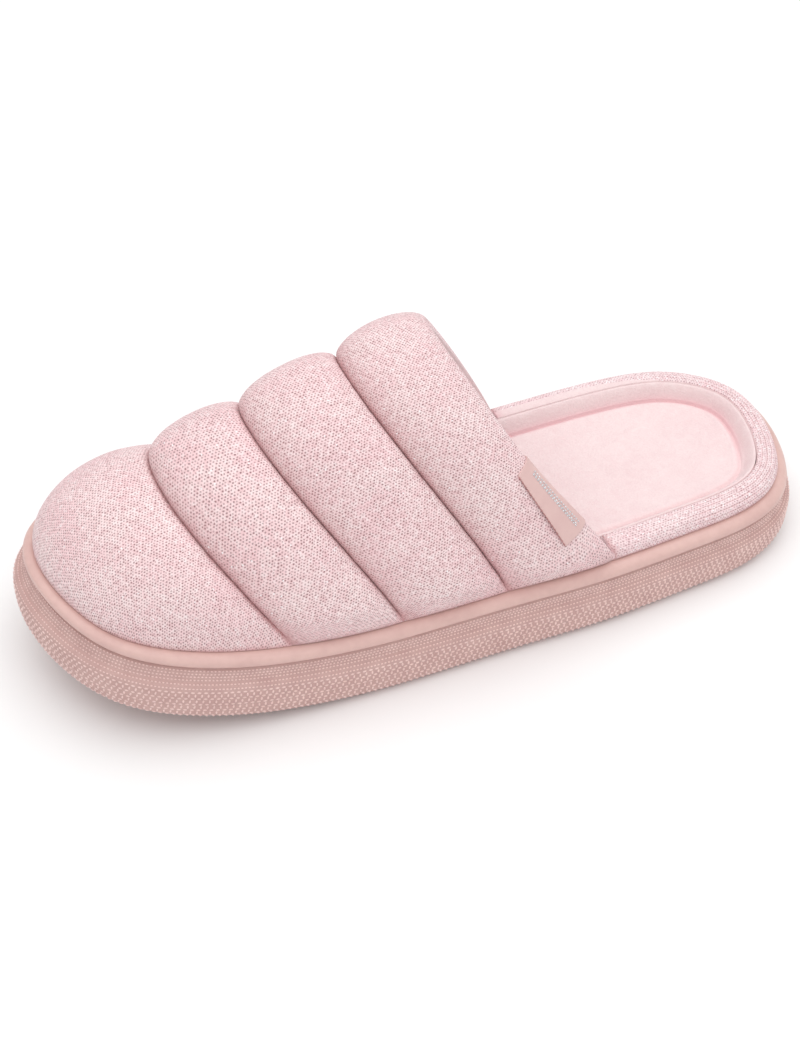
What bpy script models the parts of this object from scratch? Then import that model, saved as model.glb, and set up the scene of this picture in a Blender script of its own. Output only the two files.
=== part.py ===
"""Scuff slipper, left foot: quilted knit vamp, padded heel rim, plush footbed, welt strip and moulded sole.

Metres, +Z up. +X points to the toe, +Y to the outer side of the foot, and the floor is at Z = 0.
"""
import functools
import math

import bmesh
import bpy
import numpy as np

# Driving sizes in metres
WELT_LENGTH = 0.2658       # heel to toe along the top edge of the outsole
BALL_WIDTH = 0.0985        # widest part of the same edge
SOLE_HEIGHT = 0.0212       # outsole edge at mid length
SOLE_RISE = 0.0062         # the edge stands this much higher at the toe than at the heel, without the spring
TOE_SPRING = 0.0155        # lift of the underside at the toe tip
HEEL_LIFT = 0.0040         # lift of the underside at the heel tip
SIDE_BULGE = 0.0020        # how far the side wall swells past the top edge
TOE_BULGE = 0.0052
HEEL_BULGE = 0.0024
SIDE_STEP = 0.0005         # depth of the step between the plain and the textured part of the side
TREAD_DEPTH = 0.0015
TREAD_GROOVE = 0.0034      # width of a tread groove
TREAD_PITCH = 0.0130
TREAD_WAVE = 0.0022        # sideways swing of a groove
TREAD_MARGIN = 0.0130      # plain border between the tread grooves and the sole edge
ARCH_LENGTH = 0.0500       # recessed panel under the arch
ARCH_WIDTH = 0.0340
ARCH_OFFSET = 0.0040       # the panel's middle lies this far to the outer side
WELT_HEIGHT = 0.0046
WELT_WIDTH = 0.0064
WELT_BULGE = 0.0007
CLEARANCE = 0.0003         # between touching pieces
FOOTBED_CROWN = 0.0010     # footbed above the top of the welt
FOOTBED_ROUND = 0.0030     # width of its rounded edge under the vamp
CUP_WALL = 0.0042          # width of the sloping plush wall inside the heel rim
RIM_HEIGHT = 0.0057        # heel rim above its seam
RIM_WIDTH = 0.0076
SEAM_INSET = 0.0030        # upper and heel rim start this far inside the welt's bottom edge
UPPER_WALL = 0.0030        # wall of the vamp at its seams
TOE_PUFF_RISE = 0.30       # share of the toe roll over which it swells to its full height
ROLL_PUFF = 0.0062         # how far a quilted roll swells past its seams
TOE_PUFF = 0.0045          # the same for the toe roll
LINING_PUFF = 0.0015       # swelling of the last roll towards the foot
INSTEP_HEIGHT = 0.0725     # seam line of the rear edge above the welt
INNER_LEAD = 0.0100        # the rear edge starts this much nearer the toe on the inner side
RIDGE_OFFSET = 0.0105      # the instep ridge lies this far to the inner side of the middle
SEAM_ROLL = 0.0110         # height over which a roll narrows into its bottom seam
TOE_ROLL = 0.0240          # the same for the toe roll
REAR_CORNER = 0.0040       # rounding of the rear edge where it meets the bottom seam
TAB_LENGTH = 0.0310        # along the rear edge of the vamp
TAB_WIDTH = 0.0150         # away from that edge, over the outer face, at the lower end
TAB_TOP_WIDTH = 0.0102     # the same at the upper end
TAB_DROP = 0.0034          # the sewn side of the tab lies this much lower than the folded one
TAB_THICKNESS = 0.0008
TAB_FOOT = 0.0225          # lower end of the folded side above the welt, measured along the edge

# Where the underside starts to rise, as shares of the length from the heel, and how fast it rises
SPRING_FROM = 0.5967
SPRING_POWER = 1.75
LIFT_TO = 0.15
LIFT_POWER = 2.0

# Places under the sole as shares of the length from the heel, and how many grooves start there
FOREFOOT_TREAD = 0.5689
FOREFOOT_GROOVES = 6
HEEL_TREAD = 0.1023
HEEL_GROOVES = 4
ARCH_PLACE = 0.4259

# Outline of the welt: share of the length from the heel, outer and inner half width as shares of the ball width
OUTLINE = (
    (0.0302, 0.276, 0.250),
    (0.1008, 0.414, 0.378),
    (0.2017, 0.456, 0.415),
    (0.3227, 0.482, 0.408),
    (0.4455, 0.482, 0.397),
    (0.5765, 0.485, 0.412),
    (0.6975, 0.480, 0.462),
    (0.7983, 0.457, 0.487),
    (0.8891, 0.392, 0.448),
    (0.9597, 0.243, 0.340),
)
HEEL_TIP = -0.025          # sideways place of the two tips, in ball widths
TOE_TIP = -0.095

# Side of the outsole from floor to top edge: share of the edge height, share of the bulge, steps outwards
SIDE_PROFILE = (
    (0.00, -0.60, 0),
    (0.10, 0.35, 0),
    (0.30, 0.95, 0),
    (0.50, 1.00, 0),
    (0.72, 0.80, 0),
    (0.75, 0.72, -1),
    (0.92, 0.20, -1),
    (1.00, -0.25, -1),
)

# Cross-section of the welt strip: share of its width from the outside, share of its height, share of the bulge
WELT_PROFILE = (
    (0.05, 0.00, 0.0),
    (0.00, 0.22, 0.7),
    (0.00, 0.50, 1.0),
    (0.10, 0.80, 0.6),
    (0.28, 0.97, 0.0),
    (0.46, 1.00, 0.0),
    (1.00, 1.00, 0.0),
    (1.00, 0.00, 0.0),
)

# Cross-section of the padded heel rim: share of its width from the outside, share of its height
RIM_PROFILE = (
    (0.04, 0.00),
    (0.00, 0.24),
    (0.05, 0.52),
    (0.16, 0.76),
    (0.36, 0.93),
    (0.62, 1.00),
    (0.85, 1.00),
    (1.00, 0.94),
    (1.00, 0.00),
)
RIM_STRAIGHT = 0.25        # share of the vamp's rounded corner beside which the end of the rim stays straight
RIM_FADE = 0.16            # share of the rim's length over which its ends turn to lie along the vamp

# Footbed from its edge inwards: share of the rounded edge and of the crown under the vamp, share of the width
# and of the height of the cup wall in the heel
FOOTBED_PROFILE = (
    (0.15, 0.35, 0.00, 1.00),
    (0.35, 0.70, 0.18, 0.97),
    (0.55, 0.90, 0.40, 0.80),
    (0.75, 1.00, 0.65, 0.48),
    (0.90, 1.00, 0.85, 0.20),
    (1.00, 1.00, 1.00, 0.00),
)
CUP_FADE_FROM = 1.5        # outline steps from the rear edge of the vamp to where the cup wall starts to fade
CUP_FADE_OVER = 3.0        # outline steps over which it fades

# Seams across the vamp, rear edge first: base and ridge as shares of the length from the heel, ridge height
# as a share of the instep height, straightness of the slopes (1 is an ellipse)
SECTIONS = (
    (0.3063, 0.4757, 1.000, 1.30),
    (0.4555, 0.5937, 0.910, 1.40),
    (0.5937, 0.7197, 0.755, 1.42),
    (0.7358, 0.8356, 0.532, 1.40),
)
REAR_ROLLS = 3             # rolls with a seam on both sides, behind the toe roll
RIDGE_FADE = 0.30          # share of the ridge offset that is gone at the toe roll
TOE_ROUND = 50.0           # degrees of arc from the bottom seam over the toe to the first seam
SEAM_CURVE = 1.15          # 1 keeps a seam in one leaning plane, more sweeps it forward near the ridge
CORNER_FADE = 0.45         # share of the last roll over which the rounding of its rear corner fades

# Path of the tab as shares of its width from the folded edge: over the outer face, then inside
TAB_OUTSIDE = (1.0, 0.8, 0.6, 0.42, 0.28, 0.16, 0.07, 0.02)
TAB_INSIDE = (0.02, 0.10, 0.25)

# Mesh steps
MERGE = 0.00001
OUTLINE_STEPS = 72
ROLL_STEPS = 8
TOE_STEPS = 14
GROOVE_STEPS = 8
ARCH_STEPS = 30
LOW_STEPS = (0.35, 0.68)   # extra steps between the bottom seam and the first of those
RIM_STEPS = 34
TAB_STEPS = 6
EDGE_STEPS = 200


def clear_scene():
    """Remove whatever the scene holds."""
    for old in list(bpy.data.objects):
        bpy.data.objects.remove(old, do_unlink=True)


def smooth_step(value, low, high):
    """0 below low, 1 above high and a smooth rise between."""
    share = np.clip((value - low) / (high - low), 0.0, 1.0)
    return share * share * (3.0 - 2.0 * share)


def spline_bends(knots, values, closed):
    """Second derivatives of the cubic spline through values at knots."""
    count = len(values)
    matrix = np.zeros((count, count))
    target = np.zeros(values.shape)
    steps = np.diff(knots)
    for i in range(count):
        if not closed and i in (0, count - 1):
            matrix[i, i] = 1.0
            continue
        before = steps[i - 1]
        after = steps[i]
        matrix[i, i - 1] += before
        matrix[i, i] += 2.0 * (before + after)
        matrix[i, (i + 1) % count] += after
        rise = (values[(i + 1) % count] - values[i]) / after
        target[i] = 6.0 * (rise - (values[i] - values[i - 1]) / before)
    return np.linalg.solve(matrix, target)


def spline_point(knots, values, bends, place, closed):
    """Point and slope of the spline at one place."""
    count = len(values)
    i = min(max(int(np.searchsorted(knots, place, side="right")) - 1, 0), len(knots) - 2)
    j = (i + 1) % count if closed else i + 1
    step = knots[i + 1] - knots[i]
    a = (knots[i + 1] - place) / step
    b = (place - knots[i]) / step
    point = a * values[i] + b * values[j]
    point = point + ((a ** 3 - a) * bends[i] + (b ** 3 - b) * bends[j]) * step * step / 6.0
    slope = (values[j] - values[i]) / step
    slope = slope + (-(3 * a * a - 1) * bends[i] + (3 * b * b - 1) * bends[j]) * step / 6.0
    return point, slope


class Outline:
    """Closed top edge of the outsole, run from the heel tip along the outer side to the toe and back."""

    def __init__(self):
        outer = [(share * WELT_LENGTH, half * BALL_WIDTH) for share, half, _ in OUTLINE]
        inner = [(share * WELT_LENGTH, -half * BALL_WIDTH) for share, _, half in OUTLINE]
        heel = (0.0, HEEL_TIP * BALL_WIDTH)
        toe = (WELT_LENGTH, TOE_TIP * BALL_WIDTH)
        self.points = np.array([heel] + outer + [toe] + inner[::-1])
        gaps = np.roll(self.points, -1, axis=0) - self.points
        steps = np.sqrt(np.linalg.norm(gaps, axis=1))
        steps = (steps + steps[::-1]) / 2.0
        self.knots = np.concatenate([[0.0], np.cumsum(steps)])
        self.bends = spline_bends(self.knots, self.points, closed=True)
        self.shift = np.zeros(2)
        widest = np.array([self.at(turn, -sole_bulge(turn)) for turn in np.linspace(0.0, 1.0, 361)])
        self.shift = (widest.max(axis=0) + widest.min(axis=0)) / 2.0

    def at(self, turn, inset=0.0):
        """Point at a share of the way round, moved inwards by inset."""
        place = (turn % 1.0) * self.knots[-1]
        point, slope = spline_point(self.knots, self.points, self.bends, place, True)
        inward = np.array([slope[1], -slope[0]]) / np.linalg.norm(slope)
        return point + inward * inset - self.shift

    def turn_at(self, x, inner, inset=0.0):
        """Share of the way round at which the outer or inner side reaches x."""
        low, high = 0.0, 0.5
        for _ in range(40):
            middle = (low + high) / 2.0
            turn = 1.0 - middle if inner else middle
            if self.at(turn, inset)[0] < x:
                low = middle
            else:
                high = middle
        return 1.0 - low if inner else low

    def share(self, x):
        """Share of the length from the heel for a place along the shoe."""
        return (x + self.shift[0]) / WELT_LENGTH

    def x_at(self, share):
        """Place along the shoe for a share of the length."""
        return share * WELT_LENGTH - self.shift[0]


def sole_bulge(turn):
    """How far the side wall swells past the top edge, at a share of the way round."""
    facing = math.cos(2.0 * math.pi * turn)
    toe = max(-facing, 0.0) ** 6
    heel = max(facing, 0.0) ** 6
    return SIDE_BULGE + (TOE_BULGE - SIDE_BULGE) * toe + (HEEL_BULGE - SIDE_BULGE) * heel


def underside(outline, x):
    """Height of the sole's underside."""
    share = outline.share(x)
    spring = np.clip((share - SPRING_FROM) / (1.0 - SPRING_FROM), 0.0, None) ** SPRING_POWER
    lift = np.clip((LIFT_TO - share) / LIFT_TO, 0.0, None) ** LIFT_POWER
    return TOE_SPRING * spring + HEEL_LIFT * lift


def sole_edge(outline, x):
    """Height of the outsole's top edge."""
    share = outline.share(x)
    spring = np.clip((share - SPRING_FROM) / (1.0 - SPRING_FROM), 0.0, None) ** SPRING_POWER
    return SOLE_HEIGHT + SOLE_RISE * (share - 0.5) + TOE_SPRING * spring


def welt_bottom(outline, x):
    """Height at which the welt strip and the footbed start."""
    return sole_edge(outline, x) + CLEARANCE


def welt_top(outline, x):
    """Height of the top of the welt strip."""
    return welt_bottom(outline, x) + WELT_HEIGHT


def seam_height(outline, x):
    """Height at which the upper and the heel rim start."""
    return welt_top(outline, x) + CLEARANCE


def ring(outline, inset, height):
    """One closed row of points round the shoe; inset is a function of turn, and height of x."""
    rows = []
    for step in range(OUTLINE_STEPS):
        turn = step / OUTLINE_STEPS
        x, y = outline.at(turn, inset(turn))
        rows.append((x, y, height(x)))
    return rows


def make_object(name, points, faces, collection, material):
    """Mesh object from points and faces, closed at its doubles and facing out."""
    shape = bmesh.new()
    corners = [shape.verts.new(point) for point in points]
    for face in faces:
        shape.faces.new([corners[i] for i in face])
    bmesh.ops.remove_doubles(shape, verts=shape.verts, dist=MERGE)
    bmesh.ops.triangulate(shape, faces=shape.faces)
    bmesh.ops.recalc_face_normals(shape, faces=shape.faces)
    mesh = bpy.data.meshes.new(name)
    shape.to_mesh(mesh)
    shape.free()
    mesh.shade_smooth()
    mesh.set_sharp_from_angle(angle=math.radians(40.0))
    thing = bpy.data.objects.new(name, mesh)
    thing.data.materials.append(material)
    collection.objects.link(thing)
    return thing


def ladder(first, count, faces):
    """Close a ring by rungs from its outer to its inner side."""
    half = count // 2
    for i in range(half):
        near = (first + i, first + i + 1)
        far = (first + (count - i - 1) % count, first + (count - i) % count)
        face = [near[0], near[1], far[0], far[1]]
        unique = []
        for corner in face:
            if corner not in unique:
                unique.append(corner)
        faces.append(unique)


def loft_closed(name, rings, collection, material, tube=False):
    """Solid from closed rings: capped by ladders, or joined last to first as a tube."""
    count = len(rings[0])
    points = [point for row in rings for point in row]
    faces = []
    spans = len(rings) if tube else len(rings) - 1
    for level in range(spans):
        low = level * count
        high = ((level + 1) % len(rings)) * count
        for i in range(count):
            j = (i + 1) % count
            faces.append([low + i, low + j, high + j, high + i])
    if not tube:
        ladder(0, count, faces)
        ladder((len(rings) - 1) * count, count, faces)
    return make_object(name, points, faces, collection, material)


def loft_open(name, rows, collection, material):
    """Solid from closed sections in a row, with a flat cap at each end."""
    count = len(rows[0])
    points = [point for row in rows for point in row]
    faces = []
    for level in range(len(rows) - 1):
        low = level * count
        high = low + count
        for i in range(count):
            j = (i + 1) % count
            faces.append([low + i, low + j, high + j, high + i])
    faces.append(list(range(count)))
    faces.append(list(range((len(rows) - 1) * count, len(rows) * count)))
    return make_object(name, points, faces, collection, material)


def principled(name, colour, roughness):
    """Principled material in one colour."""
    material = bpy.data.materials.new(name)
    material.use_nodes = True
    shader = material.node_tree.nodes["Principled BSDF"]
    shader.inputs["Base Color"].default_value = (*colour, 1.0)
    shader.inputs["Roughness"].default_value = roughness
    shader.inputs["Metallic"].default_value = 0.0
    material.diffuse_color = (*colour, 1.0)
    return material


# Outsole

def build_outsole(outline, parts, cutters):
    """Moulded sole with swelling side, a step below the welt, tread grooves and an arch relief."""
    rings = []
    for height_share, bulge_share, step in SIDE_PROFILE:

        def inset(turn, bulge_share=bulge_share, step=step):
            return -bulge_share * sole_bulge(turn) - step * SIDE_STEP

        def height(x, height_share=height_share):
            low = underside(outline, x)
            return low + (sole_edge(outline, x) - low) * height_share

        rings.append(ring(outline, inset, height))
    material = principled("outsole_rubber", (0.62, 0.42, 0.41), 0.62)
    outsole = loft_closed("outsole", rings, parts, material)
    for name, cutter in (("tread_cutter", tread_cutter(outline, cutters)), ("arch_cutter", arch_cutter(outline, cutters))):
        cut = outsole.modifiers.new(name, "BOOLEAN")
        cut.operation = "DIFFERENCE"
        cut.solver = "MANIFOLD"
        cut.object = cutter
    return outsole


def tread_cutter(outline, cutters):
    """Wavy grooves across the forefoot and the heel, as one cutter of separate bars."""
    points = []
    faces = []
    starts = [(FOREFOOT_TREAD, FOREFOOT_GROOVES), (HEEL_TREAD, HEEL_GROOVES)]
    places = [outline.x_at(share) + i * TREAD_PITCH for share, count in starts for i in range(count)]
    for place in places:
        outer = outline.at(outline.turn_at(place, False), TREAD_MARGIN)[1]
        inner = outline.at(outline.turn_at(place, True), TREAD_MARGIN)[1]
        start = len(points)
        for i in range(GROOVE_STEPS + 1):
            y = inner + (outer - inner) * i / GROOVE_STEPS
            wave = TREAD_WAVE * math.sin(math.pi * i / 2.0)
            for side in (-0.5, 0.5):
                x = place + wave + side * TREAD_GROOVE
                top = underside(outline, place) + TREAD_DEPTH
                points.append((x, y, -TREAD_DEPTH))
                points.append((x, y, top))
        for i in range(GROOVE_STEPS):
            a = start + i * 4
            b = a + 4
            faces += [[a, a + 1, b + 1, b], [a + 3, a + 2, b + 2, b + 3]]
            faces += [[a + 1, a + 3, b + 3, b + 1], [a + 2, a, b, b + 2]]
        last = start + GROOVE_STEPS * 4
        faces += [[start, start + 2, start + 3, start + 1], [last, last + 1, last + 3, last + 2]]
    material = principled("cutter", (0.5, 0.5, 0.5), 0.5)
    return hide_cutter(make_object("tread_cutter", points, faces, cutters, material))


def arch_cutter(outline, cutters):
    """Oval cutter for the relief under the arch."""
    bpy.ops.mesh.primitive_cylinder_add(vertices=28, radius=0.5, depth=2.0 * TREAD_DEPTH)
    cutter = bpy.context.object
    cutter.name = "arch_cutter"
    cutter.scale = (ARCH_LENGTH, ARCH_WIDTH, 1.0)
    cutter.location = (outline.x_at(ARCH_PLACE), ARCH_OFFSET, 0.0)
    for owner in list(cutter.users_collection):
        owner.objects.unlink(cutter)
    cutters.objects.link(cutter)
    return hide_cutter(cutter)


def hide_cutter(cutter):
    """Keep a cutter out of renders."""
    cutter.hide_render = True
    cutter.display_type = "WIRE"
    return cutter


# Welt strip

def build_welt(outline, parts):
    """Smooth convex strip that wraps the top edge of the sole."""
    rings = []
    for width_share, height_share, bulge_share in WELT_PROFILE:

        def inset(turn, width_share=width_share, bulge_share=bulge_share):
            return width_share * WELT_WIDTH - bulge_share * WELT_BULGE

        def height(x, height_share=height_share):
            return welt_bottom(outline, x) + WELT_HEIGHT * height_share

        rings.append(ring(outline, inset, height))
    material = principled("welt_satin", (0.74, 0.50, 0.49), 0.42)
    return loft_closed("welt", rings, parts, material, tube=True)


# Footbed

def vamp_rear(outline, inner=False):
    """Place along the shoe of the rear edge of the vamp at its bottom seam."""
    return outline.x_at(SECTIONS[0][0]) + (INNER_LEAD if inner else 0.0)


def build_footbed(outline, parts):
    """Plush footbed: flat under the vamp, with a sloping cup wall inside the heel rim."""
    side = WELT_WIDTH + CLEARANCE
    rim_inside = SEAM_INSET + RIM_WIDTH + CLEARANCE
    ring_step = 2.0 * WELT_LENGTH / OUTLINE_STEPS

    def open_heel(x, y):
        """1 in the heel, 0 under the vamp."""
        fade_from = vamp_rear(outline, y < 0.0) + CUP_FADE_FROM * ring_step
        return 1.0 - smooth_step(x, fade_from, fade_from + CUP_FADE_OVER * ring_step)

    def row(inset_vamp, inset_heel, over_vamp, over_heel):
        """Ring whose inset and height above the welt differ between vamp and heel."""
        points = []
        for step in range(OUTLINE_STEPS):
            turn = step / OUTLINE_STEPS
            blend = open_heel(*outline.at(turn))
            x, y = outline.at(turn, inset_vamp + (inset_heel - inset_vamp) * blend)
            points.append((x, y, welt_top(outline, x) + over_vamp + (over_heel - over_vamp) * blend))
        return points

    wall_top = CLEARANCE + RIM_HEIGHT * RIM_PROFILE[-2][1]
    rings = [
        row(side, side, -WELT_HEIGHT, -WELT_HEIGHT),
        row(side, side, 0.0, 0.0),
        row(side + CLEARANCE, rim_inside, 0.0, 0.0),
    ]
    for round_share, crown_share, width_share, wall_share in FOOTBED_PROFILE:
        inset_vamp = side + CLEARANCE + FOOTBED_ROUND * round_share
        inset_heel = rim_inside + CUP_WALL * width_share
        over_heel = FOOTBED_CROWN + (wall_top - FOOTBED_CROWN) * wall_share
        rings.append(row(inset_vamp, inset_heel, FOOTBED_CROWN * crown_share, over_heel))
    material = principled("footbed_plush", (0.92, 0.68, 0.70), 0.9)
    return loft_closed("footbed", rings, parts, material)


# Vamp

class Vamp:
    """Quilted upper: arches from seam to seam, swollen between the seams, closed at the toe."""

    def __init__(self, outline):
        self.outline = outline
        self.rows = np.array(SECTIONS)
        self.knots = np.arange(REAR_ROLLS + 1.0)
        self.bends = spline_bends(self.knots, self.rows, closed=False)

    @functools.lru_cache(maxsize=None)
    def section(self, place):
        """Base x, ridge x, ridge height and straightness at a place counted in seams from the rear."""
        row, _ = spline_point(self.knots, self.rows, self.bends, place, False)
        return self.outline.x_at(row[0]), self.outline.x_at(row[1]), row[2] * INSTEP_HEIGHT, row[3]

    @functools.lru_cache(maxsize=None)
    def seam_edge(self, place, inner):
        """Share of the way round, x and y at which the seam level meets the bottom seam."""
        lead = INNER_LEAD * (1.0 - place / REAR_ROLLS) if inner else 0.0
        turn = self.outline.turn_at(self.section(place)[0] + lead, inner, SEAM_INSET)
        x, y = self.outline.at(turn, SEAM_INSET)
        return turn, x, y

    def arch_point(self, place, angle):
        """Point of a cross seam, or of the seam-level skin between two of them."""
        _, ridge_x, height, straightness = self.section(place)
        _, edge_x, edge_y = self.seam_edge(place, angle > math.pi / 2.0)
        ridge_y = -RIDGE_OFFSET * (1.0 - RIDGE_FADE * place / REAR_ROLLS)
        up = abs(math.sin(angle)) ** straightness
        x = edge_x + (ridge_x - edge_x) * up ** SEAM_CURVE
        y = ridge_y + (edge_y - ridge_y) * abs(math.cos(angle))
        low = [seam_height(self.outline, self.seam_edge(place, inner)[1]) for inner in (False, True)]
        to_inner = (1.0 - math.cos(angle)) / 2.0
        return np.array([x, y, low[0] + (low[1] - low[0]) * to_inner + height * up])

    def toe_point(self, share, angle):
        """Seam-level skin of the toe roll, from the first cross seam (0) to the bottom seam (1)."""
        back = self.arch_point(REAR_ROLLS, angle)
        outer_turn = self.seam_edge(REAR_ROLLS, False)[0]
        inner_turn = self.seam_edge(REAR_ROLLS, True)[0]
        x, y = self.outline.at(outer_turn + (inner_turn - outer_turn) * angle / math.pi, SEAM_INSET)
        front = np.array([x, y, seam_height(self.outline, x)])
        full = math.radians(TOE_ROUND)
        arc = full * (1.0 - share)
        across = (1.0 - math.cos(arc)) / (1.0 - math.cos(full))
        up = math.sin(arc) / math.sin(full)
        return front + (back - front) * np.array([across, across, up])

    def seam_point(self, place, angle):
        """Point of the seam-level skin, before any swelling."""
        if place > REAR_ROLLS:
            return self.toe_point(place - REAR_ROLLS, angle)
        return self.arch_point(place, angle)

    def outward(self, place, angle):
        """Unit normal of the seam-level skin."""
        step = 0.01
        low = max(place - step, 0.0)
        high = min(place + step, REAR_ROLLS + 1.0)
        along = self.seam_point(high, angle) - self.seam_point(low, angle)
        start = max(angle - step, 0.0)
        end = min(angle + step, math.pi)
        across = self.seam_point(place, end) - self.seam_point(place, start)
        normal = np.cross(across, along)
        return normal / max(np.linalg.norm(normal), 1e-12)

    def puff(self, place):
        """Share of the full swelling at a place: 0 in a seam, 1 on top of a roll."""
        if place < REAR_ROLLS:
            share = place - math.floor(place)
            return (4.0 * share * (1.0 - share)) ** 0.5
        share = min((place - REAR_ROLLS) / TOE_PUFF_RISE, 1.0)
        return (1.0 - (1.0 - share) ** 2) ** 0.5

    def outer(self, place, angle):
        """Point of the outer face."""
        point = self.seam_point(place, angle)
        rise = point[2] - seam_height(self.outline, point[0])
        puff, roll = (TOE_PUFF, TOE_ROLL) if place > REAR_ROLLS else (ROLL_PUFF, SEAM_ROLL)
        narrow = smooth_step(rise, -0.2 * SEAM_ROLL, roll)
        point = point + self.outward(place, angle) * puff * self.puff(place) * narrow
        return self.above_seam(point)

    def inner(self, place, angle):
        """Point of the lining face."""
        point = self.seam_point(place, angle)
        lining = LINING_PUFF * self.puff(place) if place < 1.0 else 0.0
        return self.above_seam(point - self.outward(place, angle) * (UPPER_WALL + lining))

    def corner(self, place, rise):
        """How far the rounding of the rear corner moves a point towards the toe."""
        left = max(1.0 - rise / REAR_CORNER, 0.0)
        fade = 1.0 - smooth_step(place, 0.0, CORNER_FADE)
        return REAR_CORNER * (1.0 - math.sqrt(1.0 - left * left)) * fade

    def rear_lean(self, inner, rise):
        """How far the rear edge lies ahead of its bottom end, its rounded corner included."""
        _, ridge_x, height, _ = self.section(0.0)
        reach = ridge_x - self.seam_edge(0.0, inner)[1]
        return reach * (rise / height) ** SEAM_CURVE + self.corner(0.0, max(rise, RIM_STRAIGHT * REAR_CORNER))

    def above_seam(self, point):
        """Keep a point from reaching below the bottom seam."""
        point[2] = max(point[2], seam_height(self.outline, point[0]))
        return point

    def places(self):
        """Places of the mesh rows: close together beside each seam."""
        values = []
        for roll in range(REAR_ROLLS):
            for i in range(ROLL_STEPS):
                share = i / ROLL_STEPS
                values.append(roll + (1.0 - math.cos(math.pi * share)) / 2.0)
        for i in range(TOE_STEPS + 1):
            values.append(REAR_ROLLS + (i / TOE_STEPS) ** 1.4)
        return values

    def grid(self):
        """Outer and lining points, a row for each place and a column for each angle."""
        low = [math.pi / ARCH_STEPS * share for share in LOW_STEPS]
        angles = [math.pi * j / ARCH_STEPS for j in range(ARCH_STEPS + 1)]
        angles = angles[:1] + low + angles[1:-1] + [math.pi - angle for angle in low[::-1]] + angles[-1:]
        start = self.seam_edge(REAR_ROLLS, False)[0]
        end = self.seam_edge(REAR_ROLLS, True)[0]
        outer_rows = []
        inner_rows = []
        for place in self.places():
            outer_row = [self.outer(place, angle) for angle in angles]
            inner_row = [self.inner(place, angle) for angle in angles]
            for outer_point, inner_point in zip(outer_row, inner_row):
                shift = self.corner(place, outer_point[2] - seam_height(self.outline, outer_point[0]))
                outer_point[0] += shift
                inner_point[0] += shift
            turns = {}
            for column in (0, len(angles) - 1):
                _, x, _ = self.seam_edge(min(place, REAR_ROLLS), column > 0)
                turns[column] = self.outline.turn_at(x + self.corner(place, 0.0), column > 0, SEAM_INSET)
            if place == REAR_ROLLS + 1.0:
                turns = {j: start + (end - start) * angle / math.pi for j, angle in enumerate(angles)}
            for column, turn in turns.items():
                for row, inset in ((outer_row, SEAM_INSET), (inner_row, SEAM_INSET + UPPER_WALL)):
                    x, y = self.outline.at(turn, inset)
                    row[column] = np.array([x, y, seam_height(self.outline, x)])
            outer_rows.append(outer_row)
            inner_rows.append(inner_row)
        return outer_rows, inner_rows


def build_vamp(outline, parts):
    """Hollow quilted upper, open at the rear and underneath."""
    outer_rows, inner_rows = Vamp(outline).grid()
    rows = len(outer_rows)
    columns = len(outer_rows[0])
    points = [tuple(point) for row in outer_rows + inner_rows for point in row]
    faces = []

    def spot(face, row, column):
        """Number of a grid point on the outer (0) or lining (1) face."""
        return face * rows * columns + row * columns + column

    for face in (0, 1):
        for i in range(rows - 1):
            for j in range(columns - 1):
                corners = [spot(face, i, j), spot(face, i + 1, j), spot(face, i + 1, j + 1), spot(face, i, j + 1)]
                faces.append(corners)
    for i in range(rows - 1):
        for j in (0, columns - 1):
            faces.append([spot(0, i, j), spot(0, i + 1, j), spot(1, i + 1, j), spot(1, i, j)])
    for i in (0, rows - 1):
        for j in range(columns - 1):
            faces.append([spot(0, i, j), spot(0, i, j + 1), spot(1, i, j + 1), spot(1, i, j)])
    material = principled("vamp_knit", (0.86, 0.64, 0.66), 0.9)
    return make_object("upper", points, faces, parts, material)


# Heel rim

def build_rim(outline, parts):
    """Padded knit rim round the heel, from one end of the vamp to the other."""
    outer_end = outline.turn_at(vamp_rear(outline) - CLEARANCE, False, SEAM_INSET)
    inner_end = outline.turn_at(vamp_rear(outline, True) - CLEARANCE, True, SEAM_INSET) - 1.0
    vamp = Vamp(outline)
    rows = []
    for i in range(RIM_STEPS + 1):
        turn = inner_end + (outer_end - inner_end) * i / RIM_STEPS
        near_end = smooth_step(abs(i / RIM_STEPS - 0.5), (1.0 - RIM_FADE) / 2.0, 0.5)
        section = []
        for width_share, height_share in RIM_PROFILE:
            x, y = outline.at(turn, SEAM_INSET + width_share * RIM_WIDTH)
            rise = height_share * RIM_HEIGHT
            lean = vamp.rear_lean(i < RIM_STEPS / 2, rise) * near_end
            section.append((x + lean, y, seam_height(outline, x) + rise))
        rows.append(section)
    material = principled("rim_knit", (0.84, 0.63, 0.65), 0.9)
    return loft_open("heel_rim", rows, parts, material)


# Side tab

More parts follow.
